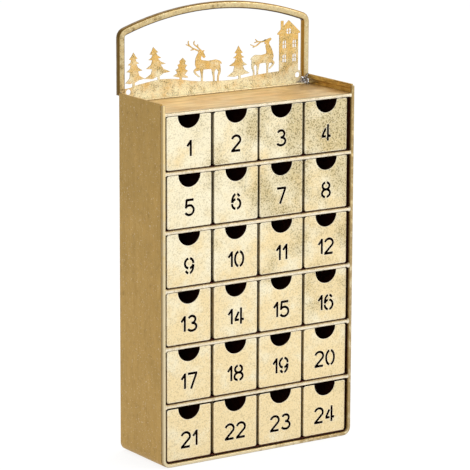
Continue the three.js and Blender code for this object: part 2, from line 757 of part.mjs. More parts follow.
function crestPlate() {
  const groundZ = (height) => plateBottomZ + height;
  const left = -plateHalfWidth;
  const firs = [
    {
      x: left + 12.3,
      footZ: groundZ(15.3),
      height: 36.9,
      lean: 0,
      step: 0.5,
      leftTips: [[5.5, 29.5], [7.2, 23.6], [9, 16.1], [10.2, 4]],
      rightTips: [[5, 30], [7.2, 24.6], [11.4, 16.6], [14.4, 7.2]],
    },
    {
      x: left + 44.6,
      footZ: groundZ(19.7),
      height: 36.5,
      lean: -7.2,
      step: 0.45,
      leftTips: [[6.1, 28.6], [8.8, 22.6], [13.7, 13.2], [17.8, 2.4]],
      rightTips: [[5.3, 30.5], [7.6, 24.1], [12.2, 17.2], [16.3, 7.8]],
    },
    {
      x: left + 72.5,
      footZ: groundZ(17.3),
      height: 24,
      lean: 3,
      step: 0.84,
      leftTips: [[4.4, 20.6], [6.4, 16.2], [8.4, 11], [10.6, 4.8]],
      rightTips: [[4.6, 20], [6.9, 15.2], [8.6, 9], [9.8, 2.2]],
    },
    {
      x: houseLeft - 53,
      footZ: groundZ(11.8),
      height: 37,
      lean: -1.5,
      step: 0.45,
      leftTips: [[5.4, 29.1], [7.7, 23.6], [13.4, 15.4], [16.2, 3.8]],
      rightTips: [[5.2, 29], [7.5, 23.6], [10.8, 15], [13.8, 5.4]],
    },
  ];
  const lookingBack = { x: -7.8, z: groundZ(11.9), facing: -1, length: 1, rise: 1 };
  const headHigh = { x: houseLeft - 23.2, z: groundZ(13.9), facing: 1, length: 0.86, rise: 0.93 };
  const flange = block(
    -plateHalfWidth,
    plateHalfWidth,
    flangeFrontY,
    plateFrontY + plateSheet,
    plateBottomZ,
    plateBottomZ + plateSheet,
  );
  const whole = join([
    ground(),
    flange,
    ...firs.map(fir),
    ...stagBody(lookingBack),
    ...stagLookingBack(lookingBack),
    ...stagBody(headHigh),
    ...stagHeadHigh(headHigh),
    ...houseBody(),
  ]);
  const glazed = windowCutters().reduce((plate, panes) => plate.subtract(panes), whole);
  const holes = [-1, 1].map((side) => {
    const hole = new THREE.Shape();
    const x = side * (plateHalfWidth - hangingHoleInset);
    hole.absarc(x, plateBottomZ + hangingHoleRise, hangingHoleRadius, 0, 2 * Math.PI);
    return plateCutter(hole, holeFacets);
  });
  return geometryFrom(cutAll(glazed, holes));
}

// A rounded fillet of solder in the corner between the plate, its flange and a post
function solderBead(side) {
  const lump = new THREE.SphereGeometry(1, 16, 10);
  lump.scale(solderWidth, solderDepth, solderHeight);
  lump.translate(side * plateHalfWidth, plateFrontY, plateBottomZ + plateSheet);
  const inner = side * (plateHalfWidth - 2 * solderWidth);
  const corner = block(
    Math.min(side * plateHalfWidth, inner),
    Math.max(side * plateHalfWidth, inner),
    plateFrontY - 2 * solderDepth,
    plateFrontY,
    plateBottomZ + plateSheet,
    plateBottomZ + 2 * solderHeight,
  );
  return geometryFrom(solidFrom(lump).intersect(solidFrom(corner)));
}

const calendar = new THREE.Group();

function addPiece(name, geometry, material) {
  const mesh = new THREE.Mesh(geometry, material);
  mesh.name = name;
  calendar.add(mesh);
  return mesh;
}

addPiece('outer_shell', outerShell(), darkGold);
addPiece('front_rim', frontRim(), brightGold);
addPiece('back_panel', backPanel(), darkGold);
addPiece('top_panel', topPanel(), trayGold);
addPiece('top_rail', rail(topRailBottomZ), brightGold);
addPiece('floor_panel', shelf(rowFloorZ(0), false), darkGold);
for (let row = 1; row < rows; row += 1) {
  addPiece(`shelf_rail_${row}`, rail(rowFloorZ(row) - railHeight), brightGold);
  addPiece(`shelf_${row}`, shelf(rowFloorZ(row), true), darkGold);
}
for (let column = 1; column < columns; column += 1) {
  addPiece(`divider_${column}`, divider(-cellsHalfWidth + column * columnPitch), darkGold);
}
addPiece('crest_frame', crestFrame(), paleGold);
addPiece('crest_plate', crestPlate(), paleGold);
addPiece('solder_left', solderBead(-1), solderGrey);
addPiece('solder_right', solderBead(1), solderGrey);

// Drawers are numbered along the rows, from the top left to the bottom right
for (let row = 0; row < rows; row += 1) {
  for (let column = 0; column < columns; column += 1) {
    const number = row * columns + column + 1;
    const name = `drawer_${String(number).padStart(2, '0')}`;
    const drawer = addPiece(name, drawerBox(number), paleGold);
    const floorZ = rowFloorZ(rows - 1 - row) + drawerBottomClearance;
    drawer.position.set(columnX(column), frontY + drawerRecess, floorZ);
  }
}

export default calendar;
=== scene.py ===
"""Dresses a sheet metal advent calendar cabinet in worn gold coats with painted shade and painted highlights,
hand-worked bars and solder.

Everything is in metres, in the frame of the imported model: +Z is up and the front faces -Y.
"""

import logging
import math
from dataclasses import dataclass
from enum import Enum

import bmesh
import bpy
from bmesh.types import BMesh, BMFace
from bpy.types import Material, Mesh, Node, NodeSocket, NodeTree, Object
from mathutils import Euler, Matrix, Quaternion, Vector, geometry


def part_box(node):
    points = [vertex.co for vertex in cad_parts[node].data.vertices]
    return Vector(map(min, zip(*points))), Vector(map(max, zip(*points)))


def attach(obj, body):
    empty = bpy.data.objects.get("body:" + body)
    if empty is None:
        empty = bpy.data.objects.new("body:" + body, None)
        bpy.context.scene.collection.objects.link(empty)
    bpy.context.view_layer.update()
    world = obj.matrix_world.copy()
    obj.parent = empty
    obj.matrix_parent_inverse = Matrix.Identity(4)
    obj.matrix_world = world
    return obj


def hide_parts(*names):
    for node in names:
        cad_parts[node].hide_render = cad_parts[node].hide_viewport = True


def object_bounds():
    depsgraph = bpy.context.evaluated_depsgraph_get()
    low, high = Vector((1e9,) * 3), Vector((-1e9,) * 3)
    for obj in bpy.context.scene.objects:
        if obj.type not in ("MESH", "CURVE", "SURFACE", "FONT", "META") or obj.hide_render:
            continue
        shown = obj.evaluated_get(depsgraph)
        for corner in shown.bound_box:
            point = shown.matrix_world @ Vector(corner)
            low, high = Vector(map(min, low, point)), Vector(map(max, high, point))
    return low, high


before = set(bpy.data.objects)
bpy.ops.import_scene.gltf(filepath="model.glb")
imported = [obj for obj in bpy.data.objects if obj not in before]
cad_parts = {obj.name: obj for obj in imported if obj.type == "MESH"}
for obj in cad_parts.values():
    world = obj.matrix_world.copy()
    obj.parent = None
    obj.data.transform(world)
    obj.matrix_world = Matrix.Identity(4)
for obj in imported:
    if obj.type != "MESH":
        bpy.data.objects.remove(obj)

cad_box = [list(corner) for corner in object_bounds()]

MM = 0.001
MIDDLE = (Vector(cad_box[0]) + Vector(cad_box[1])) / 2
CABINET = "cabinet"
SHELF_COUNT = 5
DIVIDER_COUNT = 3
SOCKET_TYPES = {float: "Float", int: "Int", tuple: "Vector"}
# How far to the right each loose drawer stands, in millimetres, row by row from the top
DRAWER_PLAY = (
    (0.0, 0.4, -0.5, -0.8)
    + (0.7, 0.9, 0.1, -0.1)
    + (0.3, 0.6, 0.8, 0.3)
    + (-0.1, 0.8, 0.9, 0.9)
    + (0.2, 0.5, 0.5, 0.6)
    + (0.4, 0.8, 0.9, 0.9)
)

log = logging.getLogger("advent_calendar")

Triple = tuple[float, float, float]
Rgb = Triple
Span = tuple[float, float]
Outline = list[tuple[float, float]]
# What a node's input takes
Feed = NodeSocket | float | tuple


def numbered(stem: str, count: int) -> list[str]:
    """Gives the names of a row of like nodes, from 1 up."""
    return [f"{stem}_{index}" for index in range(1, count + 1)]


def linear(shade: Rgb) -> tuple[float, float, float, float]:
    """Turns a display colour into the linear colour that shaders use.

    Args:
        shade: red, green and blue from 0 to 255.

    Returns:
        Linear red, green, blue and an alpha of 1.
    """
    channels = []
    for value in shade:
        share = value / 255
        channels.append(share / 12.92 if share <= 0.04045 else ((share + 0.055) / 1.055) ** 2.4)
    return (*channels, 1.0)


def place(tree: NodeTree, kind: str, inputs: dict | None = None, **settings: object) -> Node:
    """Adds a node, sets its properties and fills or links its inputs.

    Args:
        tree: the node tree that gets the node.
        kind: the node's type name.
        inputs: values or output sockets by input name or number.
        settings: properties of the node.

    Returns:
        The new node.
    """
    node = tree.nodes.new(kind)
    for name, value in settings.items():
        setattr(node, name, value)
    for name, value in (inputs or {}).items():
        if isinstance(value, NodeSocket):
            tree.links.new(value, node.inputs[name])
        else:
            node.inputs[name].default_value = value
    return node


def result(
    tree: NodeTree, kind: str, inputs: dict | None = None, output: int | str = 0, **settings: object
) -> NodeSocket:
    """Adds a node as place does and returns one of its outputs."""
    return place(tree, kind, inputs, **settings).outputs[output]


def maths(tree: NodeTree, operation: str, first: Feed, second: Feed = 0.0) -> NodeSocket:
    """Adds a Math node on two values or sockets and returns its result."""
    return result(tree, "ShaderNodeMath", {0: first, 1: second}, operation=operation)


def blend(tree: NodeTree, factor: Feed, first: Feed, second: Feed) -> NodeSocket:
    """Adds a colour Mix node between two colours or sockets and returns its result."""
    return result(tree, "ShaderNodeMix", {0: factor, 6: first, 7: second}, 2, data_type="RGBA")


def ramp(
    tree: NodeTree, value: Feed, low: Feed, high: Feed, to_low: float = 0.0, to_high: float = 1.0
) -> NodeSocket:
    """Adds a smooth Map Range node, from low and high to to_low and to_high, and returns its result."""
    inputs = {"Value": value, "From Min": low, "From Max": high, "To Min": to_low, "To Max": to_high}
    return result(tree, "ShaderNodeMapRange", inputs, "Result", interpolation_type="SMOOTHSTEP")


def noise(
    tree: NodeTree,
    at: NodeSocket,
    size: Feed,
    detail: Feed,
    shift: Feed | None = None,
    roughness: float = 0.5,
) -> NodeSocket:
    """Adds a noise whose grains have a given size.

    Args:
        tree: the node tree.
        at: the place that it is read at.
        size: the size of a grain.
        detail: how many finer layers it has.
        shift: its fourth coordinate, if it has one.
        roughness: how strong the finer layers are.

    Returns:
        The noise's socket.
    """
    scale = maths(tree, "DIVIDE", 1.0, size)
    inputs = {"Vector": at, "Scale": scale, "Detail": detail, "Roughness": roughness}
    if shift is None:
        return result(tree, "ShaderNodeTexNoise", inputs, "Fac")
    return result(tree, "ShaderNodeTexNoise", inputs | {"W": shift}, "Fac", noise_dimensions="4D")


def open_group(name: str, kind: str, inputs: dict, outputs: dict) -> tuple[NodeTree, dict, Node]:
    """Starts a node group with named sockets.

    Args:
        name: the group's name.
        kind: Shader or Geometry.
        inputs: a default value, or the socket type where it has none, by input name.
        outputs: socket type by output name.

    Returns:
        The group's tree, its input node's sockets by name, and its output node.
    """
    tree = bpy.data.node_groups.new(name, f"{kind}NodeTree")
    for label, default in inputs.items():
        given_type = default if isinstance(default, str) else SOCKET_TYPES[type(default)]
        socket = tree.interface.new_socket(name=label, in_out="INPUT", socket_type=f"NodeSocket{given_type}")
        if not isinstance(default, str):
            socket.default_value = default
    for label, given_type in outputs.items():
        tree.interface.new_socket(name=label, in_out="OUTPUT", socket_type=f"NodeSocket{given_type}")
    entry = tree.nodes.new("NodeGroupInput")
    leaving = tree.nodes.new("NodeGroupOutput")
    return tree, {socket.name: socket for socket in entry.outputs if socket.name}, leaving


class SharedEffects:
    """The shader groups that several finishes use."""

    patch_roughness: float = 0.6
    bent_likeness: Span = (0.99, 0.82)
    breakup: tuple = (0.3, 0.55, 0.25, 1.0)
    pit_span: Span = (0.68, 0.76)

    def __init__(self) -> None:
        """Builds each group once."""
        self.mottle = self.build_mottle()
        self.edge_wear = self.build_edge_wear()
        self.relief = self.build_relief()

    def build_mottle(self) -> NodeTree:
        """Builds the group that marks patches or specks of a given size.

        Returns:
            The shader group.
        """
        values = {"Position": "Vector", "Size": 10 * MM, "Low": 0.45, "High": 0.6}
        values |= {"Shift": 0.0, "Lean": 0.0, "Detail": 3.0}
        tree, given, leaving = open_group("mottle", "Shader", values, {"Mask": "Float"})
        grain = noise(
            tree, given["Position"], given["Size"], given["Detail"], given["Shift"], self.patch_roughness
        )
        level = maths(tree, "ADD", grain, given["Lean"])
        tree.links.new(ramp(tree, level, given["Low"], given["High"]), leaving.inputs["Mask"])
        return tree

    def build_edge_wear(self) -> NodeTree:
        """Builds the group that marks edges where a coat is rubbed thin and where a painted highlight runs
        along them.

        Returns:
            The shader group.
        """
        values = {"Position": "Vector", "Radius": 0.6 * MM, "Breakup Size": 3 * MM}
        tree, given, leaving = open_group("edge wear", "Shader", values, {"Mask": "Float"})
        rounded = result(tree, "ShaderNodeBevel", {"Radius": given["Radius"]}, samples=4)
        normals = {0: rounded, 1: result(tree, "ShaderNodeNewGeometry", output="Normal")}
        likeness = result(tree, "ShaderNodeVectorMath", normals, "Value", operation="DOT_PRODUCT")
        bend = ramp(tree, likeness, *self.bent_likeness)
        patchy = ramp(tree, noise(tree, given["Position"], given["Breakup Size"], 2.0), *self.breakup)
        tree.links.new(maths(tree, "MULTIPLY", bend, patchy), leaving.inputs["Mask"])
        return tree

    def build_relief(self) -> NodeTree:
        """Builds the group that gives the height of a coat's grain, dents and pits, in metres.

        Returns:
            The shader group.
        """
        values = {"Grain Size": 0.8 * MM, "Grain Height": 0.02 * MM}
        values |= {"Dent Size": 20 * MM, "Dent Height": 0.2 * MM}
        values |= {"Position": "Vector", "Pit Size": 2 * MM, "Pit Depth": 0.05 * MM}
        tree, given, leaving = open_group("relief", "Shader", values, {"Height": "Float"})
        layers = []
        for layer, detail in (("Grain", 3.0), ("Dent", 1.0)):
            bumps = noise(tree, given["Position"], given[f"{layer} Size"], detail)
            layers.append(maths(tree, "MULTIPLY", bumps, given[f"{layer} Height"]))
        pits = ramp(tree, noise(tree, given["Position"], given["Pit Size"], 1.0), *self.pit_span)
        sunk = maths(tree, "MULTIPLY", pits, given["Pit Depth"])
        height = maths(tree, "SUBTRACT", maths(tree, "ADD", *layers), sunk)
        tree.links.new(height, leaving.inputs["Height"])
        return tree


class DarkSide(Enum):
    """Which turned faces of a bar get painted shade."""

    NONE = "none"
    TOP = "top"
    AROUND = "around"


class Pattern(Enum):
    """The shift that gives each mask of a coat its own noise."""

    WARM = 1.0
    SPECK = 3.0
    STREAK = 11.0
    GLINT = 19.0
    SHEEN = 23.0


@dataclass(frozen=True)
class GoldCoat:
    """A gold coat on sheet or bar: tones in soft patches, dark patina, fine specks, rubbed edges with a
    painted highlight, and painted shade.
    """

    name: str
    base: Rgb
    warm: Rgb
    patina: Rgb
    speck: Rgb
    worn: Rgb
    warm_size: float = 22 * MM
    warm_share: float = 0.5
    warm_span: Span = (0.38, 0.66)
    warm_lean: Triple = (0.0, 0.0, 0.0)
    patina_size: float = 14 * MM
    patina_span: Span = (0.5, 0.75)
    patina_share: float = 0.5
    patina_detail: float = 3.0
    patina_seed: float = 7.0
    patina_lean: Triple = (0.0, 0.0, 0.0)
    # Painted shade on a bar's turned faces in the side tones, lighter on the right, and on faces that look
    # down
    dark_side: DarkSide = DarkSide.NONE
    side: Rgb = (104, 82, 44)
    side_right: Rgb | None = None
    side_share: float = 0.85
    under_share: float = 0.0
    # Painted shade in corners, in gaps and under a bar, in this dark tone; ambient occlusion finds the
    # corners and gaps
    grime: Rgb = (46, 28, 12)
    grime_share: float = 0.0
    grime_reach: float = 5 * MM
    grime_range: Span = (0.62, 0.2)
    speck_size: float = 1.1 * MM
    speck_span: Span = (0.56, 0.68)
    speck_share: float = 0.6
    speck_floor: float = 0.32
    glint: Rgb = (255, 250, 232)
    glint_share: float = 0.2
    glint_span: Span = (0.6, 0.7)
    glint_scale: float = 0.8
    stretch: Triple = (1.0, 1.0, 1.0)
    streak_share: float = 0.0
    streak_span: Span = (0.4, 0.62)
    # Edges take the edge tone: partly a rubbed coat, partly a painted highlight
    wear_radius: float = 0.6 * MM
    wear_breakup: float = 3 * MM
    wear_share: float = 0.7
    metallic: float = 0.75
    specular: float = 0.5
    roughness: Span = (0.34, 0.52)
    sheen_size: float = 6 * MM
    sheen_span: Span = (0.3, 0.7)
    grain_size: float = 0.9 * MM
    grain_height: float = 0.02 * MM
    dent_size: float = 26 * MM
    dent_height: float = 0.25 * MM
    pit_size: float = 2.4 * MM
    pit_depth: float = 0.06 * MM


class CoatPainter:
    """Paints one coat in a material's node tree."""

    facing_up: Span = (0.0, 0.32)
    facing_aside: Span = (0.985, 0.8)
    facing_down: Span = (-0.2, -0.6)

    def __init__(self, coat: GoldCoat, effects: SharedEffects) -> None:
        """Starts the material.

        Args:
            coat: the coat's values.
            effects: the shared shader groups.
        """
        self.coat, self.effects = coat, effects
        self.material = bpy.data.materials.new(coat.name)
        self.material.use_nodes = True
        self.tree = self.material.node_tree
        self.tree.nodes.clear()
        self.position = result(self.tree, "ShaderNodeTexCoord", output="Object")
        brushed = {"Vector": self.position, "Scale": coat.stretch}
        self.streaked = result(self.tree, "ShaderNodeMapping", brushed)

    def mask(
        self,
        size: float,
        span: Span,
        shift: float,
        lean: Feed = 0.0,
        detail: float = 3.0,
        streaked: bool = False,
    ) -> NodeSocket:
        """Places the mottle group.

        Args:
            size: the size of a patch or speck.
            span: the noise where the mask begins and where it is full.
            shift: a number that gives each mask its own pattern.
            lean: what is added to the noise, as a number or a socket.
            detail: how many finer layers the noise has.
            streaked: True if it is stretched along the brush marks.

        Returns:
            The mask's socket.
        """
        inputs = {"Position": self.streaked if streaked else self.position, "Size": size, "Low": span[0]}
        inputs |= {"High": span[1], "Shift": shift, "Lean": lean, "Detail": detail}
        return result(self.tree, "ShaderNodeGroup", inputs, "Mask", node_tree=self.effects.mottle)

    def lean(self, slope: Triple) -> NodeSocket | float:
        """Makes a value that grows across the cabinet and is 0 in its middle.

        Args:
            slope: the growth per metre along X, Y and Z.

        Returns:
            The value's socket, or 0 if it doesn't grow.
        """
        if not any(slope):
            return 0.0
        inputs = {0: self.position, 1: slope}
        along = result(self.tree, "ShaderNodeVectorMath", inputs, "Value", operation="DOT_PRODUCT")
        return maths(self.tree, "SUBTRACT", along, MIDDLE.dot(Vector(slope)))

    def tint(self, tone: Feed, mask: NodeSocket, share: float, shade: Rgb) -> NodeSocket:
        """Blends a display colour over a tone by a share of a mask."""
        return blend(self.tree, maths(self.tree, "MULTIPLY", mask, share), tone, linear(shade))

    def patches(self) -> tuple[NodeSocket, NodeSocket]:
        """Builds the soft tones of the coat.

        Returns:
            The sockets of the tone and of the mask of its patina.
        """
        coat = self.coat
        warm = self.mask(coat.warm_size, coat.warm_span, Pattern.WARM.value, self.lean(coat.warm_lean))
        tone = self.tint(linear(coat.base), warm, coat.warm_share, coat.warm)
        lean = self.lean(coat.patina_lean)
        region = self.mask(coat.patina_size, coat.patina_span, coat.patina_seed, lean, coat.patina_detail)
        tone = self.tint(tone, region, coat.patina_share, coat.patina)
        if coat.streak_share:
            streaks = self.mask(coat.warm_size, coat.streak_span, Pattern.STREAK.value, streaked=True)
            tone = self.tint(tone, streaks, coat.streak_share, coat.patina)
        return tone, region

    def dirt(self, tone: NodeSocket) -> NodeSocket:
        """Paints shade: darkens a bar's turned faces and the faces that look down, and darkens corners and
        gaps by ambient occlusion.

        Args:
            tone: the coat's colour so far.

        Returns:
            The darkened colour's socket.
        """
        coat, tree = self.coat, self.tree
        # Painted shade on turned faces, lighter on the right, and on faces that look down
        if coat.dark_side is not DarkSide.NONE:
            normal = result(tree, "ShaderNodeNewGeometry", output="Normal")
            parts = place(tree, "ShaderNodeSeparateXYZ", {0: normal}).outputs
            if coat.dark_side is DarkSide.TOP:
                turned = ramp(tree, parts["Z"], *self.facing_up)
            else:
                turned = ramp(tree, maths(tree, "ABSOLUTE", parts["Y"]), *self.facing_aside)
            across = result(tree, "ShaderNodeSeparateXYZ", {0: self.position}, "X")
            on_right = ramp(tree, across, cad_box[0][0] / 2, cad_box[1][0])
            side = blend(tree, on_right, linear(coat.side), linear(coat.side_right or coat.side))
            tone = blend(tree, maths(tree, "MULTIPLY", turned, coat.side_share), tone, side)
            below = ramp(tree, parts["Z"], *self.facing_down, 0.0, coat.under_share)
            tone = blend(tree, below, tone, linear(coat.grime))
        # Painted shade in corners and gaps, found by ambient occlusion
        if coat.grime_share:
            reach = {"Distance": coat.grime_reach}
            open_sky = result(tree, "ShaderNodeAmbientOcclusion", reach, "AO", samples=6)
            tone = self.tint(tone, ramp(tree, open_sky, *coat.grime_range), coat.grime_share, coat.grime)
        return tone

    def colour(self) -> NodeSocket:
        """Builds the coat's colour.

        Returns:
            The colour's socket.
        """
        coat, tree = self.coat, self.tree
        tone, region = self.patches()
        fine = self.mask(coat.speck_size, coat.speck_span, Pattern.SPECK.value)
        more = maths(tree, "ADD", maths(tree, "MULTIPLY", region, 1 - coat.speck_floor), coat.speck_floor)
        tone = self.tint(tone, maths(tree, "MULTIPLY", fine, more), coat.speck_share, coat.speck)
        glints = self.mask(coat.speck_size * coat.glint_scale, coat.glint_span, Pattern.GLINT.value)
        tone = self.tint(tone, glints, coat.glint_share, coat.glint)
        # Edges: partly a rubbed coat, partly a painted highlight
        inputs = {"Position": self.position, "Radius": coat.wear_radius, "Breakup Size": coat.wear_breakup}
        rub_highlight_mask = result(tree, "ShaderNodeGroup", inputs, "Mask", node_tree=self.effects.edge_wear)
        return self.dirt(self.tint(tone, rub_highlight_mask, coat.wear_share, coat.worn))

    def paint(self) -> Material:
        """Builds the finish.

        Returns:
            The material.
        """
        coat, tree = self.coat, self.tree
        sheen = self.mask(coat.sheen_size, coat.sheen_span, Pattern.SHEEN.value, streaked=True)
        inputs = {"Position": self.position, "Grain Size": coat.grain_size, "Grain Height": coat.grain_height}
        inputs |= {"Dent Size": coat.dent_size, "Dent Height": coat.dent_height}
        inputs |= {"Pit Size": coat.pit_size, "Pit Depth": coat.pit_depth}
        height = result(tree, "ShaderNodeGroup", inputs, "Height", node_tree=self.effects.relief)
        look = {
            "Base Color": self.colour(),
            "Roughness": ramp(tree, sheen, 0.0, 1.0, *coat.roughness),
            "Metallic": coat.metallic,
            "Specular IOR Level": coat.specular,
            "Normal": result(tree, "ShaderNodeBump", {"Height": height, "Strength": 1.0, "Distance": 1.0}),
        }
        shader = result(tree, "ShaderNodeBsdfPrincipled", look)
        place(tree, "ShaderNodeOutputMaterial", {"Surface": shader})
        return self.material


class Finish(Enum):
    """The finishes of the cabinet, each a gold coat or the dark coat that paints the shade inside it."""

    # After its name, each coat has its base, warm, patina, speck and edge tones; the edge tone is partly a
    # rubbed coat and partly a painted highlight.
    # The drawers' patina_seed was found by a search, so that the patches fall roughly as in the photo
    # Drawers: painted shade in the gaps between them, and painted highlights on their edges
    DRAWER = GoldCoat(
        "mottled_champagne_gold",
        (243, 234, 204), (238, 216, 166), (200, 182, 132), (120, 104, 60), (255, 251, 236),
        warm_size=30 * MM, warm_share=0.85, warm_lean=(0.3, 0.0, -0.9), patina_size=28 * MM,
        patina_span=(0.44, 0.84), patina_detail=1.5, patina_seed=2908.87, patina_lean=(1.3, 0.0, 1.4),
        patina_share=0.72, speck_size=1.7 * MM, speck_span=(0.5, 0.6), speck_share=0.78, glint_share=0.7,
        wear_radius=1.2 * MM, wear_share=1.0, grime=(40, 24, 6), grime_share=0.92, grime_reach=8 * MM,
        grime_range=(0.36, 0.16), grain_size=1.6 * MM, grain_height=0.07 * MM,
    )
    # Rails: painted shade on their upper faces and where they meet the drawers
    RAIL = GoldCoat(
        "rubbed_bar_gold",
        (240, 231, 210), (230, 212, 176), (172, 150, 108), (96, 74, 44), (255, 252, 240),
        warm_size=8 * MM, patina_size=5 * MM, patina_share=0.6, speck_size=1.6 * MM, speck_span=(0.55, 0.65),
        speck_share=0.75, dark_side=DarkSide.TOP, side=(150, 132, 92), side_share=0.8, grime_share=0.35,
        grime_reach=3 * MM, dent_size=7 * MM, dent_height=0.3 * MM, roughness=(0.26, 0.44),
    )
    # Rim: painted shade on its turned faces and in its corners
    RIM = GoldCoat(
        "khaki_rim_gold",
        (220, 206, 170), (228, 204, 148), (160, 134, 86), (104, 82, 48), (252, 244, 222),
        warm_size=9 * MM, warm_share=0.95, warm_lean=(0.0, 0.0, 1.6), patina_size=8 * MM,
        patina_lean=(1.8, 0.0, 0.0), patina_share=0.85, speck_size=1.6 * MM, wear_radius=0.9 * MM,
        wear_share=0.85, dark_side=DarkSide.AROUND, side=(152, 126, 76), side_share=0.7, grime_share=0.2,
        grime_reach=3 * MM, dent_size=8 * MM, roughness=(0.3, 0.46),
    )
    SHELL = GoldCoat(
        "brushed_antique_gold",
        (182, 148, 79), (198, 160, 88), (158, 125, 61), (126, 97, 44), (222, 196, 142),
        warm_size=40 * MM, warm_lean=(0.0, 0.0, -0.9), patina_size=7 * MM, speck_share=0.5,
        speck_size=2.2 * MM, glint_share=0.4, stretch=(5.0, 5.0, 0.5), streak_share=0.2, grain_size=2.0 * MM,
        grain_height=0.05 * MM, roughness=(0.42, 0.58),
    )
    # Tray: painted shade in its corners
    TRAY = GoldCoat(
        "warm_tray_gold",
        (232, 206, 154), (224, 184, 122), (180, 146, 88), (160, 124, 70), (255, 240, 208),
        warm_size=24 * MM, warm_share=0.8, patina_size=30 * MM, patina_lean=(1.2, 0.0, 0.0), patina_share=0.7,
        speck_share=0.4, stretch=(0.5, 9.0, 9.0), streak_share=0.6, grime_share=0.6, grime_range=(0.7, 0.2),
        roughness=(0.36, 0.5),
    )
    # Inner wall above the tray: a lighter copy of the shell's coat as painted light, with painted shade in
    # its corners
    WALL = GoldCoat(
        "lit_wall_gold",
        (226, 190, 106), (236, 204, 124), (164, 122, 52), (112, 80, 30), (240, 206, 130),
        warm_size=16 * MM, patina_size=12 * MM, stretch=(1.0, 1.0, 6.0), streak_share=0.7, grime_share=0.3,
        grime_reach=4 * MM, roughness=(0.3, 0.45),
    )
    # Arched bar: painted shade on its turned faces, lighter on the right post, and under it
    CREST_BAR = GoldCoat(
        "bent_bar_gold",
        (207, 190, 146), (198, 172, 118), (168, 146, 98), (104, 80, 42), (244, 230, 196),
        warm_size=9 * MM, patina_size=7 * MM, patina_lean=(-0.8, 0.0, 0.0), patina_share=0.8,
        speck_size=1.8 * MM, speck_span=(0.52, 0.6), speck_share=0.75, glint_share=0.5,
        dark_side=DarkSide.AROUND, side=(112, 84, 28), side_right=(166, 122, 38), side_share=1.0,
        under_share=0.9, wear_share=0.15, roughness=(0.3, 0.5),
    )
    CREST = GoldCoat(
        "speckled_crest_gold",
        (250, 242, 208), (228, 178, 68), (206, 184, 122), (92, 72, 26), (132, 94, 40),
        warm_size=14 * MM, warm_share=0.85, warm_span=(1.58, 2.0), warm_lean=(0.0, 0.0, 7.8),
        patina_size=8 * MM, patina_span=(0.45, 0.7), patina_share=0.6, speck_size=1.5 * MM,
        speck_span=(0.52, 0.57), speck_share=0.85, glint_share=0.8, wear_radius=0.9 * MM, wear_share=0.65,
        metallic=0.3, roughness=(0.35, 0.55),
    )
    SEAM = GoldCoat(
        "pale_seam_gold",
        (246, 232, 194), (240, 222, 176), (196, 170, 118), (84, 66, 30), (255, 252, 240),
        warm_size=5 * MM, patina_size=4 * MM, speck_size=1.8 * MM, speck_span=(0.5, 0.57), speck_share=0.9,
        metallic=0.5, roughness=(0.3, 0.5),
    )
    # Solder: painted shade in its hollows
    SOLDER = GoldCoat(
        "gilded_solder",
        (206, 198, 194), (206, 184, 146), (96, 86, 80), (40, 32, 30), (236, 232, 230),
        warm_size=4 * MM, patina_size=3 * MM, patina_span=(0.4, 0.6), patina_share=0.9, speck_share=0.9,
        grime_share=0.9, grime_reach=4 * MM, grime_range=(0.6, 0.15), metallic=0.5, roughness=(0.3, 0.5),
    )
    # A dark coat on the inner faces, as painted shade inside the cabinet, the drawers and the numerals
    INSIDE = GoldCoat(
        "dark_inside_shade",
        (80, 33, 22), (88, 38, 24), (54, 24, 16), (30, 14, 8), (88, 48, 24),
        metallic=0.0, specular=0.25, roughness=(0.5, 0.7), wear_share=0.3, glint_share=0.05,
    )


class Workshop:
    """Holds the finished materials and turns meshes into pieces of the cabinet."""

    def __init__(self) -> None:
        """Builds every finish once."""
        effects = SharedEffects()
        self.materials = {finish: CoatPainter(finish.value, effects).paint() for finish in Finish}

    def piece(self, name: str, mesh: Mesh, finishes: tuple[Finish, ...] = ()) -> Object:
        """Links a mesh as an object with its finishes.

        Args:
            name: the piece's name.
            mesh: the mesh, in place.
            finishes: the finishes by material index, or none if the mesh has its material already.

        Returns:
            The new object.
        """
        for finish in finishes:
            mesh.materials.append(self.materials[finish])
        thing = bpy.data.objects.new(name, mesh)
        bpy.context.scene.collection.objects.link(thing)
        log.info("%s: %d faces", name, len(mesh.polygons))
        return thing


def arc(centre_x: float, centre_z: float, radius: float, start: float, end: float, steps: int) -> Outline:
    """Gives points on an arc.

    Args:
        centre_x: the centre across.
        centre_z: the centre up.
        radius: the radius.
        start: the first angle in degrees.
        end: the last angle in degrees.
        steps: the number of equal steps.

    Returns:
        steps + 1 points.
    """
    angles = [math.radians(start + (end - start) * step / steps) for step in range(steps + 1)]
    return [(centre_x + radius * math.cos(a), centre_z + radius * math.sin(a)) for a in angles]


def finished_mesh(name: str, mesh: BMesh, sharp_degrees: float) -> Mesh:
    """Turns an edited mesh into a smooth one with sharp edges.

    Args:
        name: the mesh's name.
        mesh: the edited mesh, which is freed.
        sharp_degrees: the angle from which an edge is sharp.

    Returns:
        The mesh.
    """
    data = bpy.data.meshes.new(name)
    mesh.to_mesh(data)
    mesh.free()
    data.shade_smooth()
    data.set_sharp_from_angle(angle=math.radians(sharp_degrees))
    return data


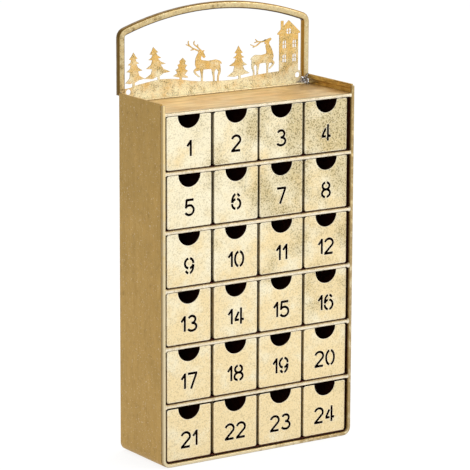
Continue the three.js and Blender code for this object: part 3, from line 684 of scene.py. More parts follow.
class Forge:
    """Makes pieces by running its geometry tree on a path or on points."""

    lump_detail: float = 2.0

    def __init__(self, workshop: Workshop) -> None:
        """Keeps the workshop, which has the materials, and builds the tree."""
        self.workshop, self.tree = workshop, self.build_tree()

    def build_tree(self) -> NodeTree:
        """Builds the geometry tree, which differs by what is made."""
        raise NotImplementedError

    def roughen(
        self, tree: NodeTree, surface: NodeSocket, given: dict, seed: NodeSocket | None
    ) -> NodeSocket:
        """Sinks a surface unevenly along its normals.

        Args:
            tree: the geometry tree.
            surface: the surface.
            given: the tree's inputs by name.
            seed: the shift of the noise, if it has one.

        Returns:
            The uneven surface.
        """
        where = result(tree, "GeometryNodeInputPosition")
        lumps = noise(tree, where, given["Lump Size"], self.lump_detail, seed)
        inward = maths(tree, "MULTIPLY", maths(tree, "MULTIPLY", lumps, given["Lump Height"]), -1.0)
        push = {0: result(tree, "GeometryNodeInputNormal"), "Scale": inward}
        offset = result(tree, "ShaderNodeVectorMath", push, operation="SCALE")
        return result(tree, "GeometryNodeSetPosition", {"Geometry": surface, "Offset": offset})

    @staticmethod
    def finish(tree: NodeTree, surface: NodeSocket, given: dict, leaving: Node) -> None:
        """Ends a tree: makes its instances real and gives them their material.

        Args:
            tree: the geometry tree.
            surface: what the tree has made.
            given: the tree's inputs by name.
            leaving: the tree's output node.
        """
        real = result(tree, "GeometryNodeRealizeInstances", {"Geometry": surface})
        coated = result(tree, "GeometryNodeSetMaterial", {"Geometry": real, "Material": given["Material"]})
        tree.links.new(coated, leaving.inputs["Geometry"])

    def grow(self, seed_mesh: Mesh, finish: Finish, sizes: dict) -> Mesh:
        """Runs the tree on a mesh and keeps the result as a plain mesh.

        Args:
            seed_mesh: the points or path that it starts from.
            finish: the finish of what grows.
            sizes: the tree's other inputs by name, with underscores for spaces.

        Returns:
            The grown mesh.
        """
        inputs = {key.replace("_", " ").title(): value for key, value in sizes.items()}
        inputs["Material"] = self.workshop.materials[finish]
        carrier = bpy.data.objects.new("carrier", seed_mesh)
        bpy.context.scene.collection.objects.link(carrier)
        modifier = carrier.modifiers.new("grow", "NODES")
        modifier.node_group = self.tree
        for item in self.tree.interface.items_tree:
            if item.in_out == "INPUT" and item.name in inputs:
                modifier[item.identifier] = inputs[item.name]
        depsgraph = bpy.context.evaluated_depsgraph_get()
        mesh = bpy.data.meshes.new_from_object(carrier.evaluated_get(depsgraph))
        bpy.data.objects.remove(carrier)
        mesh.shade_smooth()
        return mesh


class BarForge(Forge):
    """Bends a bar of rounded section along a path and leaves it slightly uneven, as handwork does."""

    sharp_degrees: float = 50

    def build_tree(self) -> NodeTree:
        """Builds the tree that sweeps a rounded section along a flat path and stands it upright.

        Returns:
            The geometry tree.
        """
        values = {"Geometry": "Geometry", "Section Width": 5 * MM, "Section Depth": 4 * MM}
        values |= {"Rounding": 1 * MM, "Step": 2.5 * MM, "Lump Height": 0.3 * MM, "Lump Size": 6 * MM}
        values |= {"Depth Offset": 0.0, "Seed": 1.0, "Material": "Material"}
        tree, given, leaving = open_group("hand-worked bar", "Geometry", values, {"Geometry": "Geometry"})
        path = result(tree, "GeometryNodeMeshToCurve", {"Mesh": given["Geometry"]})
        spacing = {"Curve": path, "Length": given["Step"]}
        even = result(tree, "GeometryNodeResampleCurve", spacing, mode="LENGTH")
        steady = result(tree, "GeometryNodeSetCurveNormal", {"Curve": even}, mode="Z_UP")
        sides = {"Width": given["Section Width"], "Height": given["Section Depth"]}
        section = result(tree, "GeometryNodeCurvePrimitiveQuadrilateral", sides)
        corners = {"Curve": section, "Radius": given["Rounding"], "Count": 4}
        rounded = result(tree, "GeometryNodeFilletCurve", corners, mode="POLY")
        swept = {"Curve": steady, "Profile Curve": rounded, "Fill Caps": True}
        bar = self.roughen(tree, result(tree, "GeometryNodeCurveToMesh", swept), given, given["Seed"])
        shift = result(tree, "ShaderNodeCombineXYZ", {"Y": given["Depth Offset"]})
        stand = {"Geometry": bar, "Translation": shift, "Rotation": (math.pi / 2, 0.0, 0.0)}
        self.finish(tree, result(tree, "GeometryNodeTransform", stand), given, leaving)
        return tree

    def bend(self, name: str, path: Outline, middle_y: float, finish: Finish, **sizes: float) -> Object:
        """Makes one bar.

        Args:
            name: the piece's name.
            path: the bar's centre line in X and Z.
            middle_y: where the middle of the bar lies in Y.
            finish: the bar's finish.
            sizes: the tree's other inputs by name, with underscores for spaces.

        Returns:
            The bar as an object.
        """
        line = bpy.data.meshes.new(name + "_path")
        line.from_pydata([(x, z, 0.0) for x, z in path], [(i, i + 1) for i in range(len(path) - 1)], [])
        mesh = self.grow(line, finish, sizes | {"depth_offset": middle_y})
        mesh.set_sharp_from_angle(angle=math.radians(self.sharp_degrees))
        return self.workshop.piece(name, mesh)


class BeadMaker(Forge):
    """Drops uneven beads of solder on points."""

    smallest: Triple = (0.8, 0.9, 0.75)
    largest: Triple = (1.0, 1.0, 1.0)

    def build_tree(self) -> NodeTree:
        """Builds the tree that sets a lumpy bead on each point.

        Returns:
            The geometry tree.
        """
        values = {"Geometry": "Geometry", "Bead Size": (3 * MM, 1.5 * MM, 3 * MM), "Lump Height": 0.8 * MM}
        values |= {"Lump Size": 3 * MM, "Seed": 1, "Material": "Material"}
        tree, given, leaving = open_group("solder beads", "Geometry", values, {"Geometry": "Geometry"})
        drops = result(tree, "GeometryNodeMeshToPoints", {"Mesh": given["Geometry"]})
        ball = result(tree, "GeometryNodeMeshIcoSphere", {"Radius": 1.0, "Subdivisions": 4})
        limits = {"Min": self.smallest, "Max": self.largest, "Seed": given["Seed"]}
        variety = result(tree, "FunctionNodeRandomValue", limits, data_type="FLOAT_VECTOR")
        size = result(tree, "ShaderNodeVectorMath", {0: given["Bead Size"], 1: variety}, operation="MULTIPLY")
        spread = {"Points": drops, "Instance": ball, "Scale": size}
        beads = result(tree, "GeometryNodeInstanceOnPoints", spread)
        real = result(tree, "GeometryNodeRealizeInstances", {"Geometry": beads})
        self.finish(tree, self.roughen(tree, real, given, None), given, leaving)
        return tree

    def drop(self, name: str, points: list, size: tuple, finish: Finish, **sizes: float) -> Object:
        """Makes a set of beads as one piece.

        Args:
            name: the piece's name.
            points: where the beads lie.
            size: half the width, depth and height of a bead.
            finish: the beads' finish.
            sizes: the tree's other inputs by name, with underscores for spaces.

        Returns:
            The beads as an object.
        """
        spots = bpy.data.meshes.new(name + "_spots")
        spots.from_pydata([tuple(point) for point in points], [], [])
        return self.workshop.piece(name, self.grow(spots, finish, sizes | {"bead_size": size}))


@dataclass(frozen=True)
class Lamp:
    """A square soft lamp that faces the middle of the cabinet."""

    name: str
    at: Triple
    side: float
    watts: float
    shade: Rgb


@dataclass
class Studio:
    """A pale floor, a white surround, three soft lamps and the camera of the photograph."""

    focal_length_px: float = 2898.0
    picture_px: int = 470
    sensor_mm: float = 36.0
    camera_at: Triple = (-1.7257, -2.5969, 0.9183)
    turn_degrees: float = -33.589
    pitch_degrees: float = 12.337
    roll_degrees: float = 0.227
    far_end: float = 100.0
    floor_half: float = 12.0
    floor_gap: float = 0.2 * MM
    floor_grey: float = 0.86
    floor_glow: float = 1.12
    floor_glow_share: float = 0.76
    surround_across: tuple = (-0.9, 0.7, 0.5, 1.0)
    lamps: tuple = (
        Lamp("key_lamp", (1.5, -2.0, 1.5), 1.4, 22.0, (255, 250, 240)),
        Lamp("fill_lamp", (-1.9, -1.9, 1.3), 1.6, 8.0, (255, 252, 246)),
        Lamp("top_lamp", (0.3, 0.9, 2.2), 1.4, 12.0, (255, 248, 236)),
    )

    def camera(self) -> None:
        """Puts the camera where the photograph was taken from."""
        data = bpy.data.cameras.new("photo_camera")
        data.sensor_width = self.sensor_mm
        data.lens = self.focal_length_px / self.picture_px * self.sensor_mm
        data.clip_end = self.far_end
        camera = bpy.data.objects.new("photo_camera", data)
        aim = Euler((math.radians(90 - self.pitch_degrees), 0.0, math.radians(self.turn_degrees)))
        camera.rotation_mode = "QUATERNION"
        roll = Quaternion((0.0, 0.0, 1.0), math.radians(self.roll_degrees))
        camera.rotation_quaternion = aim.to_quaternion() @ roll
        camera.location = self.camera_at
        bpy.context.scene.collection.objects.link(camera)
        bpy.context.scene.camera = camera

    def hang(self, lamp: Lamp) -> None:
        """Adds a lamp.

        Args:
            lamp: its place, size, strength and colour.
        """
        data = bpy.data.lights.new(lamp.name, "AREA")
        data.size = lamp.side
        data.energy = lamp.watts
        data.color = linear(lamp.shade)[:3]
        thing = bpy.data.objects.new(lamp.name, data)
        thing.location = lamp.at
        thing.rotation_mode = "QUATERNION"
        thing.rotation_quaternion = (Vector(lamp.at) - MIDDLE).to_track_quat("Z", "Y")
        bpy.context.scene.collection.objects.link(thing)

    def floor(self) -> None:
        """Adds the pale floor, which shows white to the camera and keeps the shadow."""
        half = self.floor_half
        z = cad_box[0][2] - self.floor_gap
        mesh = bpy.data.meshes.new("floor")
        corners = [(-half, -half, z), (half, -half, z), (half, half, z), (-half, half, z)]
        mesh.from_pydata(corners, [], [(0, 1, 2, 3)])
        material = bpy.data.materials.new("pale_floor")
        material.use_nodes = True
        tree = material.node_tree
        tree.nodes.clear()
        matt = result(tree, "ShaderNodeBsdfDiffuse", {"Color": (*[self.floor_grey] * 3, 1.0)})
        white = {"Color": (1.0, 1.0, 1.0, 1.0), "Strength": self.floor_glow}
        rays = place(tree, "ShaderNodeLightPath").outputs
        seen = maths(tree, "MAXIMUM", rays["Is Camera Ray"], rays["Is Glossy Ray"])
        share = maths(tree, "MULTIPLY", seen, self.floor_glow_share)
        glow = result(tree, "ShaderNodeEmission", white)
        mixed = result(tree, "ShaderNodeMixShader", {0: share, 1: matt, 2: glow})
        place(tree, "ShaderNodeOutputMaterial", {"Surface": mixed})
        mesh.materials.append(material)
        floor = bpy.data.objects.new("floor", mesh)
        bpy.context.scene.collection.objects.link(floor)

    def surround(self) -> None:
        """Sets the white surround, dimmer where it only lights the cabinet."""
        world = bpy.data.worlds.new("white_surround")
        bpy.context.scene.world = world
        world.use_nodes = True
        tree = world.node_tree
        tree.nodes.clear()
        direction = result(tree, "ShaderNodeTexCoord", output="Generated")
        across = result(tree, "ShaderNodeSeparateXYZ", {0: direction}, "X")
        white = {"Color": (1.0, 1.0, 1.0, 1.0)}
        side = ramp(tree, across, *self.surround_across)
        soft = result(tree, "ShaderNodeBackground", white | {"Strength": side})
        plain = result(tree, "ShaderNodeBackground", white | {"Strength": 1.0})
        rays = place(tree, "ShaderNodeLightPath").outputs
        seen = maths(tree, "MAXIMUM", rays["Is Camera Ray"], rays["Is Transmission Ray"])
        mixed = result(tree, "ShaderNodeMixShader", {0: seen, 1: soft, 2: plain})
        place(tree, "ShaderNodeOutputWorld", {"Surface": mixed})

    def build(self) -> None:
        """Sets up the whole studio."""
        self.camera()
        self.floor()
        self.surround()
        for lamp in self.lamps:
            self.hang(lamp)
        bpy.context.scene.view_settings.view_transform = "Standard"


class Segment(Enum):
    """How a stroke of a numeral runs, by the count of its values."""

    LINE = 4
    ARC = 6


@dataclass(frozen=True)
class Stencil:
    """The stencilled numerals, drawn as strokes in a box one wide and one high. Sizes are in millimetres."""

    height: float = 19.2
    width: float = 13.5
    one_width: float = 7.4
    stroke: float = 2.8
    gap: float = 1.3
    rise: float = 22.1
    arc_step: float = 9.0

    @staticmethod
    def strokes() -> dict[str, list[tuple]]:
        """Gives each numeral's strokes.

        A line is (u, v, u, v) and an arc is (centre u, centre v, radius u, radius v, start, end).

        Returns:
            The strokes by digit.
        """
        whole, bowl = (0.5, 0.5, 0.5, 0.5), (0.5, 0.33, 0.5, 0.33)
        upper, lower = (0.5, 0.76, 0.43, 0.24), (0.5, 0.26, 0.5, 0.26)
        table = {
            "0": [(*whole, 100, 260), (*whole, 80, -80)],
            "1": [(1, 0, 1, 1.06), (1.08, 1.02, 0.02, 0.66)],
            "2": [(0.5, 0.71, 0.5, 0.29, 165, -38), (0.91, 0.55, 0.02, 0.01), (-0.09, 0, 1, 0)],
            "3": [(0.46, 0.76, 0.42, 0.24, 155, -95), (0.48, 0.26, 0.52, 0.26, 98, -155)],
            "4": [(0.46, 0.8, 0.03, 0.28), (-0.04, 0.25, 0.5, 0.25), (0.74, -0.06, 0.74, 1.06)]
            + [(0.74, 0.25, 1.1, 0.25)],
            "5": [(0.1, 1, 1, 1), (0.17, 1.05, 0.08, 0.46), (0.48, 0.32, 0.52, 0.32, 143, -152)],
            "6": [(*bowl, -80, 80), (*bowl, 100, 165), (*whole, 100, 185), (*bowl, 175, 260)]
            + [(*whole, 80, 38)],
            "7": [(-0.04, 1, 1.09, 1), (1, 1, 0.34, -0.05)],
            "8": [(*upper, 102, 275), (*upper, 78, -95), (*lower, 85, 258), (*lower, 95, -78)],
        }
        table["9"] = [
            (1 - u, 1 - v, radius_u, radius_v, start + 180, end + 180)
            for u, v, radius_u, radius_v, start, end in table["6"]
        ]
        return table

    def centre_line(self, stroke: tuple) -> list[Vector]:
        """Gives the points along a stroke, in the unit box.

        Args:
            stroke: a line or an arc.

        Returns:
            The points.
        """
        if Segment(len(stroke)) is Segment.LINE:
            return [Vector(stroke[:2]), Vector(stroke[2:])]
        u, v, radius_u, radius_v, start, end = stroke
        steps = math.ceil(abs(end - start) / self.arc_step)
        angles = [math.radians(start + (end - start) * step / steps) for step in range(steps + 1)]
        return [Vector((u + radius_u * math.cos(angle), v + radius_v * math.sin(angle))) for angle in angles]

    def band(self, line: list[Vector]) -> Outline:
        """Widens a centre line to a stroke's outline.

        Args:
            line: the points along the middle.

        Returns:
            The outline, in the order of its corners.
        """
        left, right = [], []
        for index, point in enumerate(line):
            before, after = line[max(index - 1, 0)], line[min(index + 1, len(line) - 1)]
            along = (after - before).normalized()
            across = Vector((-along.y, along.x)) * self.stroke / 2
            left.append(tuple(point + across))
            right.append(tuple(point - across))
        return right + left[::-1]

    def outlines(self, number: int) -> list[Outline]:
        """Gives the outlines of a number's strokes, centred across.

        Args:
            number: the number from 1 to 24.

        Returns:
            One outline for each stroke, in millimetres.
        """
        digits = str(number)
        widths = [self.one_width if digit == "1" else self.width for digit in digits]
        left = -(sum(widths) + self.gap * (len(digits) - 1)) / 2
        strokes = self.strokes()
        tall = self.height - self.stroke
        found = []
        for digit, width in zip(digits, widths):
            start, wide = left + self.stroke / 2, width - self.stroke
            for stroke in strokes[digit]:
                line = self.centre_line(stroke)
                line = [Vector((start + p.x * wide, self.rise + (p.y - 0.5) * tall)) for p in line]
                found.append(self.band(line))
            left += width + self.gap
        return found


@dataclass
class Drawer:
    """One folded drawer: a pierced front, bent walls, a floor and a rear. Sizes are in millimetres."""

    number: int
    workshop: Workshop
    stencil: Stencil
    play: float = 0.0
    sheet: float = 0.6
    corner_radius: float = 2.6
    bend_radius: float = 1.0
    side_drop: float = 2.0
    notch_radius: float = 14.1
    corner_steps: int = 6
    bend_steps: int = 4
    notch_steps: int = 40
    same_point: float = 1e-5
    sharp_degrees: float = 35

    @property
    def node(self) -> str:
        """The drawer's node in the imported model."""
        return f"drawer_{self.number:02d}"

    def measure(self) -> None:
        """Takes the drawer's place, and its outside sizes in millimetres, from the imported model."""
        low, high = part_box(self.node)
        self.corner = Vector(((low[0] + high[0]) / 2 + self.play * MM, low[1], low[2]))
        self.half = (high[0] - low[0]) / 2 / MM
        self.depth = (high[1] - low[1]) / MM
        self.height = (high[2] - low[2]) / MM

    def top_at(self, inset: float) -> float:
        """Gives the height of the front's rounded upper corner.

        Args:
            inset: the distance in from the side.

        Returns:
            The height, which is never below the top of the walls.
        """
        reach = self.corner_radius - min(inset, self.corner_radius)
        rounded = self.height - self.corner_radius + math.sqrt(self.corner_radius**2 - reach**2)
        return max(self.height - self.side_drop, rounded)

    def lower_corners(self) -> Outline:
        """Gives the two lower corners of a flat part inside its bends.

        Returns:
            Their points, from left to right.
        """
        r, bent = self.corner_radius, self.corner_radius - self.bend_radius
        left = arc(-self.half + r, r, bent, 180, 270, self.corner_steps)
        return left + arc(self.half - r, r, bent, 270, 360, self.corner_steps)

    def front_outline(self) -> Outline:
        """Gives the flat front's outline inside its bends, with the finger notch.

        Returns:
            The outline, anticlockwise.
        """
        r, w, h = self.corner_radius, self.half, self.height
        start = math.degrees(math.acos((r - self.bend_radius) / r))
        outline = self.lower_corners() + arc(w - r, h - r, r, start, 90, self.corner_steps)
        outline += arc(0, h, self.notch_radius, 0, -180, self.notch_steps)
        return outline + arc(-w + r, h - r, r, 90, 180 - start, self.corner_steps)

    def rear_outline(self) -> Outline:
        """Gives the flat rear's outline inside its bends, anticlockwise."""
        side, top = self.half - self.bend_radius, self.height - self.side_drop
        return self.lower_corners() + [(side, top), (-side, top)]

    def add_plate(self, mesh: BMesh, rings: list[Outline], near: float, inner_near: bool) -> None:
        """Adds a flat sheet with holes.

        Args:
            mesh: the mesh that gets the sheet.
            rings: the outline, then the holes.
            near: where the sheet's near face lies in Y.
            inner_near: True if the near face is the one inside the drawer.
        """
        flat, faces = [], []
        for ring in rings:
            first = len(flat)
            flat += [Vector(point) for point in ring]
            faces.append(list(range(first, len(flat))))
        parts = geometry.delaunay_2d_cdt(flat, [], faces, 1, self.same_point)
        points, _, triangles, origins, _, owners = parts
        on_outline = [any(origin < len(rings[0]) for origin in given) for given in origins]
        near_layer, far_layer = (
            [mesh.verts.new((point.x, y, point.y)) for point in points] for y in (near, near + self.sheet)
        )
        edge_use: dict = {}
        for triangle, owner in zip(triangles, owners):
            if list(owner) != [0]:
                continue
            front = mesh.faces.new([near_layer[i] for i in triangle])
            rear = mesh.faces.new([far_layer[i] for i in reversed(triangle)])
            front.material_index, rear.material_index = (1, 0) if inner_near else (0, 1)
            for a, b in zip(triangle, triangle[1:] + triangle[:1]):
                edge_use[(a, b)] = True
        for a, b in edge_use:
            if (b, a) not in edge_use:
                cut = mesh.faces.new((near_layer[b], near_layer[a], far_layer[a], far_layer[b]))
                # The cut faces of the numerals take the dark coat, as painted shade
                cut.material_index = 0 if on_outline[a] and on_outline[b] else 1
        loose = [vert for vert in near_layer + far_layer if not vert.link_faces]
        bmesh.ops.delete(mesh, geom=loose, context="VERTS")

    def wall_path(self) -> list[tuple[float, float, float, float]]:
        """Gives the outside of the walls and floor as points with outward normals.

        Returns:
            (x, z, normal x, normal z) from the top of the left wall to the top of the right one.
        """
        r, w, h = self.corner_radius, self.half, self.height
        path = [(-w, h, -1.0, 0.0), (-w, h / 2, -1.0, 0.0)]
        for centre, first in ((-w + r, 180), (w - r, 270)):
            for nx, nz in arc(0.0, 0.0, 1.0, first, first + 90, self.corner_steps):
                path.append((centre + r * nx, r + r * nz, nx, nz))
        return path + [(w, h / 2, 1.0, 0.0), (w, h, 1.0, 0.0)]

    def fold(self, inside: bool) -> list[tuple[float, float]]:
        """Gives the section of the bent walls, from the front lip to the rear lip.

        Args:
            inside: True for the inner face of the sheet.

        Returns:
            (y, inset) points.
        """
        b = self.bend_radius
        radius = b - self.sheet if inside else b
        section = [(b - along, b - across) for along, across in arc(0.0, 0.0, radius, 0, 90, self.bend_steps)]
        return section + [(self.depth - y, inset) for y, inset in reversed(section)]

    def add_walls(self, mesh: BMesh) -> None:
        """Adds the walls and floor as one bent sheet.

        Args:
            mesh: the mesh that gets the sheet.
        """
        path = self.wall_path()
        grids = []
        for inside in (False, True):
            section = self.fold(inside)
            front_part = len(section) // 2
            grid = []
            for index, (x, z, nx, nz) in enumerate(path):
                row = []
                for place_in, (y, inset) in enumerate(section):
                    top = self.top_at(inset) if place_in < front_part else self.height - self.side_drop
                    up = top if index in (0, len(path) - 1) else z - nz * inset
                    row.append(mesh.verts.new((x - nx * inset, y, up)))
                grid.append(row)
            grids.append(grid)
        outer, inner = grids
        last_row, last = len(path) - 1, len(outer[0]) - 1
        for i in range(last_row):
            for j in range(last):
                mesh.faces.new((outer[i][j], outer[i][j + 1], outer[i + 1][j + 1], outer[i + 1][j]))
                face = mesh.faces.new((inner[i][j], inner[i + 1][j], inner[i + 1][j + 1], inner[i][j + 1]))
                face.material_index = 1
            for j in (0, last):
                mesh.faces.new((outer[i][j], outer[i + 1][j], inner[i + 1][j], inner[i][j]))
        for i in (0, last_row):
            for j in range(last):
                mesh.faces.new((outer[i][j], inner[i][j], inner[i][j + 1], outer[i][j + 1]))

    def build(self) -> None:
        """Makes the drawer and lets it ride on its sliding body."""
        self.measure()
        mesh = bmesh.new()
        self.add_plate(mesh, [self.front_outline(), *self.stencil.outlines(self.number)], 0.0, False)
        self.add_plate(mesh, [self.rear_outline()], self.depth - self.sheet, True)
        self.add_walls(mesh)
        bmesh.ops.recalc_face_normals(mesh, faces=mesh.faces)
        in_place = Matrix.Translation(self.corner) @ Matrix.Scale(MM, 4)
        bmesh.ops.transform(mesh, matrix=in_place, verts=mesh.verts)
        data = finished_mesh(f"numbered_drawer_{self.number:02d}", mesh, self.sharp_degrees)
        piece = self.workshop.piece(data.name, data, (Finish.DRAWER, Finish.INSIDE))
        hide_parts(self.node)
        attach(piece, f"{self.node}_box")


@dataclass
class SheetPiece:
    """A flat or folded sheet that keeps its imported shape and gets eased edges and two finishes."""

    node: str
    slot: str
    outside: Finish
    workshop: Workshop
    inside: Finish | None = None
    above_tray: Finish | None = None
    edge: float = 0.15 * MM
    same_point: float = 1e-6
    flat_degrees: float = 0.5
    sharp_degrees: float = 30
    eased_degrees: float = 40
    facing_share: float = 0.5
    rising_share: float = 0.1

    def is_inside(self, face: BMFace) -> bool:
        """Says whether a face lies inside the cabinet, by its normal and its place.

        Args:
            face: the face.

        Returns:
            True for a face that is inside.
        """
        normal = face.normal
        if self.node == "outer_shell":
            centre = face.calc_center_median()
            rests_on_top = centre.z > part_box("outer_shell")[1][2] - self.edge
            return centre.x * normal.x < 0 or (normal.z > self.rising_share and not rests_on_top)
        if self.node == "top_panel":
            return normal.z < self.facing_share
        return normal.y < self.facing_share if self.node == "back_panel" else True

    def build(self) -> None:
        """Makes the sheet and puts it in its node's place."""
        mesh = bmesh.new()
        mesh.from_mesh(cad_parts[self.node].data)
        bmesh.ops.remove_doubles(mesh, verts=mesh.verts, dist=self.same_point)
        flat = math.radians(self.flat_degrees)
        bmesh.ops.dissolve_limit(mesh, angle_limit=flat, verts=mesh.verts, edges=mesh.edges)
        tray = Vector((0.0, 0.0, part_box("top_panel")[1][2]))
        if self.above_tray:
            parts = mesh.verts[:] + mesh.edges[:] + mesh.faces[:]
            bmesh.ops.bisect_plane(
                mesh, geom=parts, dist=self.same_point, plane_co=tray, plane_no=(0.0, 0.0, 1.0)
            )
        if self.inside:
            for face in mesh.faces:
                hidden = not self.above_tray or face.calc_center_median().z < tray.z
                face.material_index = (1 if hidden else 2) if self.is_inside(face) else 0
        data = finished_mesh(f"sheet_{self.node}", mesh, self.sharp_degrees)
        finishes = tuple(finish for finish in (self.outside, self.inside, self.above_tray) if finish)
        piece = self.workshop.piece(data.name, data, finishes)
        eased = piece.modifiers.new("eased edges", "BEVEL")
        eased.width = self.edge
        eased.segments = 2
        eased.limit_method = "ANGLE"
        eased.angle_limit = math.radians(self.eased_degrees)
        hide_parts(self.node)
        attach(piece, CABINET)


@dataclass
class FrontBars:
    """The rim round the front, the rails between the rows and the solder that joins them."""

    forge: BarForge
    beads: BeadMaker
    rim_width: float = 4.4 * MM
    rim_rounding: float = 1.3 * MM
    rim_lump_height: float = 0.35 * MM
    rim_lump_size: float = 9 * MM
    rim_top_share: float = 0.2
    outer_radius: float = 9.5 * MM
    corner_steps: int = 8
    rail_rounding: float = 1.75 * MM
    rail_lump_height: float = 0.5 * MM
    rail_lump_size: float = 4.5 * MM
    bead: Triple = (3.6 * MM, 1.5 * MM, 3.4 * MM)
    bead_inset: float = 0.6 * MM
    bead_behind: float = 1.6 * MM

    def rim(self) -> None:
        """Bends the rim down one side, under the bottom and up the other side."""
        low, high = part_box("front_rim")
        half = self.rim_width / 2
        radius = self.outer_radius - half
        left, right = low[0] + half, high[0] - half
        floor_z, top = low[2] + half, high[2] - half * self.rim_top_share
        path = [(left, top), *arc(left + radius, floor_z + radius, radius, 180, 270, self.corner_steps)]
        path += [*arc(right - radius, floor_z + radius, radius, 270, 360, self.corner_steps), (right, top)]
        piece = self.forge.bend(
            "hammered_rim", path, (low[1] + high[1]) / 2, Finish.RIM,
            section_width=self.rim_width, section_depth=high[1] - low[1], rounding=self.rim_rounding,
            lump_height=self.rim_lump_height, lump_size=self.rim_lump_size, seed=2.0,
        )
        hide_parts("front_rim")
        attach(piece, CABINET)

    def rails(self, nodes: list[str]) -> list[Vector]:
        """Lays a rail at each node's place.

        Args:
            nodes: the rails' nodes.

        Returns:
            Where a bead of solder lies at both ends of each rail.
        """
        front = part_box("front_rim")[0][1] + self.bead_behind
        points = []
        for index, node in enumerate(nodes):
            low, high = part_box(node)
            middle_z = (low[2] + high[2]) / 2
            path = [(low[0], middle_z), (high[0], middle_z)]
            piece = self.forge.bend(
                f"worked_{node}", path, (low[1] + high[1]) / 2, Finish.RAIL,
                section_width=high[2] - low[2], section_depth=high[1] - low[1], rounding=self.rail_rounding,
                lump_height=self.rail_lump_height, lump_size=self.rail_lump_size, seed=10.0 + index,
            )
            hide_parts(node)
            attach(piece, CABINET)
            points += [(x, front, middle_z) for x in (low[0] + self.bead_inset, high[0] - self.bead_inset)]
        return points

    def build(self) -> None:
        """Makes the rim, the rails and their solder."""
        self.rim()
        points = self.rails(["top_rail"] + numbered("shelf_rail", SHELF_COUNT))
        height = self.rail_lump_height
        piece = self.beads.drop("rail_solder", points, self.bead, Finish.RAIL, lump_height=height, seed=4)
        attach(piece, CABINET)


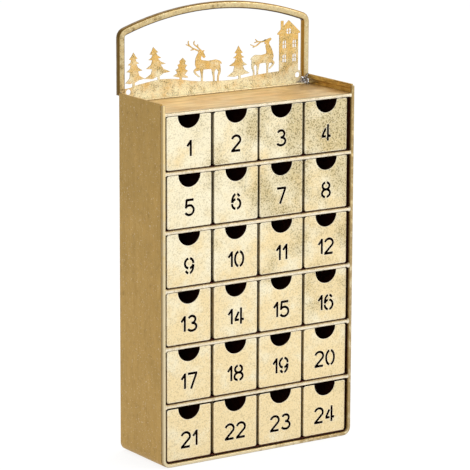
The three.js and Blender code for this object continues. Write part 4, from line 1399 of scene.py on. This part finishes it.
@dataclass
class Crest:
    """The arched bar behind the tray, the seam of its plate and the solder in its lower corners."""

    forge: BarForge
    beads: BeadMaker
    bar_width: float = 8.4 * MM
    arch_radius: float = 349 * MM
    corner_radius: float = 11 * MM
    corner_steps: int = 8
    arch_steps: int = 60
    rounding: float = 2.2 * MM
    lump_height: float = 0.3 * MM
    lump_size: float = 14 * MM
    seam_height: float = 1.7 * MM
    seam_depth: float = 4.6 * MM
    seam_front: float = 1.4 * MM
    seam_rounding_share: float = 0.45
    seam_lump_height: float = 0.7 * MM
    seam_lump_size: float = 3 * MM
    # Each bead's place inward, forward and up from the post's foot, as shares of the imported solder's size
    solder_spots: tuple = (
        (0.2, 0.3, 0.2), (0.12, 0.2, 0.5), (0.08, 0.12, 0.8), (0.45, 0.15, 0.12), (0.72, 0.1, 0.08),
        (0.1, 0.7, 0.1), (-0.15, 0.25, 0.15), (-0.4, 0.3, 0.2), (-0.62, 0.35, 0.25), (-0.8, 0.45, 0.3),
        (-0.15, 0.2, 0.55), (-0.4, 0.3, 0.6), (-0.62, 0.4, 0.65), (-0.8, 0.5, 0.8), (-0.2, 0.7, 1.0),
        (-0.42, 0.74, 1.15), (-0.62, 0.76, 1.3), (-0.8, 0.75, 1.5), (0.4, 1.2, 0.0), (0.1, 1.2, 0.05),
        (-0.2, 1.5, 0.05), (-0.5, 1.0, 0.1), (-0.5, 1.8, 0.0),
    )
    solder_share: Triple = (0.21, 0.4, 0.32)
    solder_lump_height: float = 0.9 * MM

    def frame_path(self) -> Outline:
        """Gives the centre line of the bent bar, from the left foot over the arch to the right one.

        Returns:
            Points in X and Z.
        """
        low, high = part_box("crest_frame")
        half_bar = self.bar_width / 2
        centre_z = high[2] - self.arch_radius
        corner_x = high[0] - self.corner_radius
        reach = self.arch_radius - self.corner_radius
        corner_z = centre_z + math.sqrt(reach**2 - corner_x**2)
        turn = math.degrees(math.atan2(corner_z - centre_z, corner_x))
        bend = self.corner_radius - half_bar
        path = [(low[0] + half_bar, low[2])]
        path += arc(-corner_x, corner_z, bend, 180, 180 - turn, self.corner_steps)
        path += arc(0.0, centre_z, self.arch_radius - half_bar, 180 - turn, turn, self.arch_steps)
        path += arc(corner_x, corner_z, bend, turn, 0, self.corner_steps)
        return path + [(high[0] - half_bar, low[2])]

    def bar(self) -> None:
        """Bends the arched bar."""
        low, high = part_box("crest_frame")
        bar = self.forge.bend(
            "arched_bar", self.frame_path(), (low[1] + high[1]) / 2, Finish.CREST_BAR,
            section_width=self.bar_width, section_depth=high[1] - low[1], rounding=self.rounding,
            lump_height=self.lump_height, lump_size=self.lump_size, seed=5.0,
        )
        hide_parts("crest_frame")
        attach(bar, CABINET)

    def seam(self) -> None:
        """Lays the uneven seam where the silhouette plate's flange ends on the tray."""
        low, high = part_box("crest_plate")
        height = self.seam_height
        seam_z = low[2] + height / 2
        seam = self.forge.bend(
            "crest_seam", [(low[0] + height, seam_z), (high[0] - height, seam_z)],
            low[1] - self.seam_front + self.seam_depth / 2, Finish.SEAM,
            section_width=height, section_depth=self.seam_depth, rounding=height * self.seam_rounding_share,
            lump_height=self.seam_lump_height, lump_size=self.seam_lump_size, seed=31.0,
        )
        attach(seam, CABINET)

    def solder(self, side: str, sign: int) -> None:
        """Runs solder from a post's foot into the corner of the tray.

        Args:
            side: left or right.
            sign: -1 on the left and 1 on the right.
        """
        low, high = (Vector(corner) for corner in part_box(f"solder_{side}"))
        root = Vector((high.x if sign > 0 else low.x, high.y, low.z))
        reach = high - low
        towards = Vector((-sign * reach.x, -reach.y, reach.z))
        points = [root + towards * Vector(spot) for spot in self.solder_spots]
        size = tuple(reach[axis] * self.solder_share[axis] for axis in range(3))
        height = self.solder_lump_height
        lump = self.beads.drop(
            f"corner_solder_{side}", points, size, Finish.SOLDER, lump_height=height, seed=8 + sign
        )
        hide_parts(f"solder_{side}")
        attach(lump, CABINET)

    def build(self) -> None:
        """Makes the bar, the seam and the solder."""
        self.bar()
        self.seam()
        self.solder("left", -1)
        self.solder("right", 1)


def main() -> None:
    """Builds the studio and every part of the cabinet, in order."""
    logging.basicConfig(level=logging.INFO, format="%(name)s: %(message)s")
    Studio().build()
    workshop = Workshop()
    forge, beads = BarForge(workshop), BeadMaker(workshop)
    # The shell's inner faces above the tray take the lighter copy of its coat, as painted light
    SheetPiece("outer_shell", "shell_gold", Finish.SHELL, workshop, Finish.INSIDE, Finish.WALL).build()
    SheetPiece("back_panel", "shell_gold", Finish.SHELL, workshop, Finish.INSIDE).build()
    SheetPiece("top_panel", "tray_gold", Finish.TRAY, workshop, Finish.INSIDE).build()
    # The inner panels take the dark coat, as painted shade inside the cabinet
    inner = ["floor_panel"] + numbered("shelf", SHELF_COUNT) + numbered("divider", DIVIDER_COUNT)
    for node in inner:
        SheetPiece(node, "inner_gold", Finish.INSIDE, workshop).build()
    SheetPiece("crest_plate", "crest_gold", Finish.CREST, workshop, edge=0.12 * MM).build()
    FrontBars(forge, beads).build()
    Crest(forge, beads).build()
    stencil = Stencil()
    for number, play in enumerate(DRAWER_PLAY, 1):
        Drawer(number, workshop, stencil, play).build()


if __name__ == "__main__":
    main()
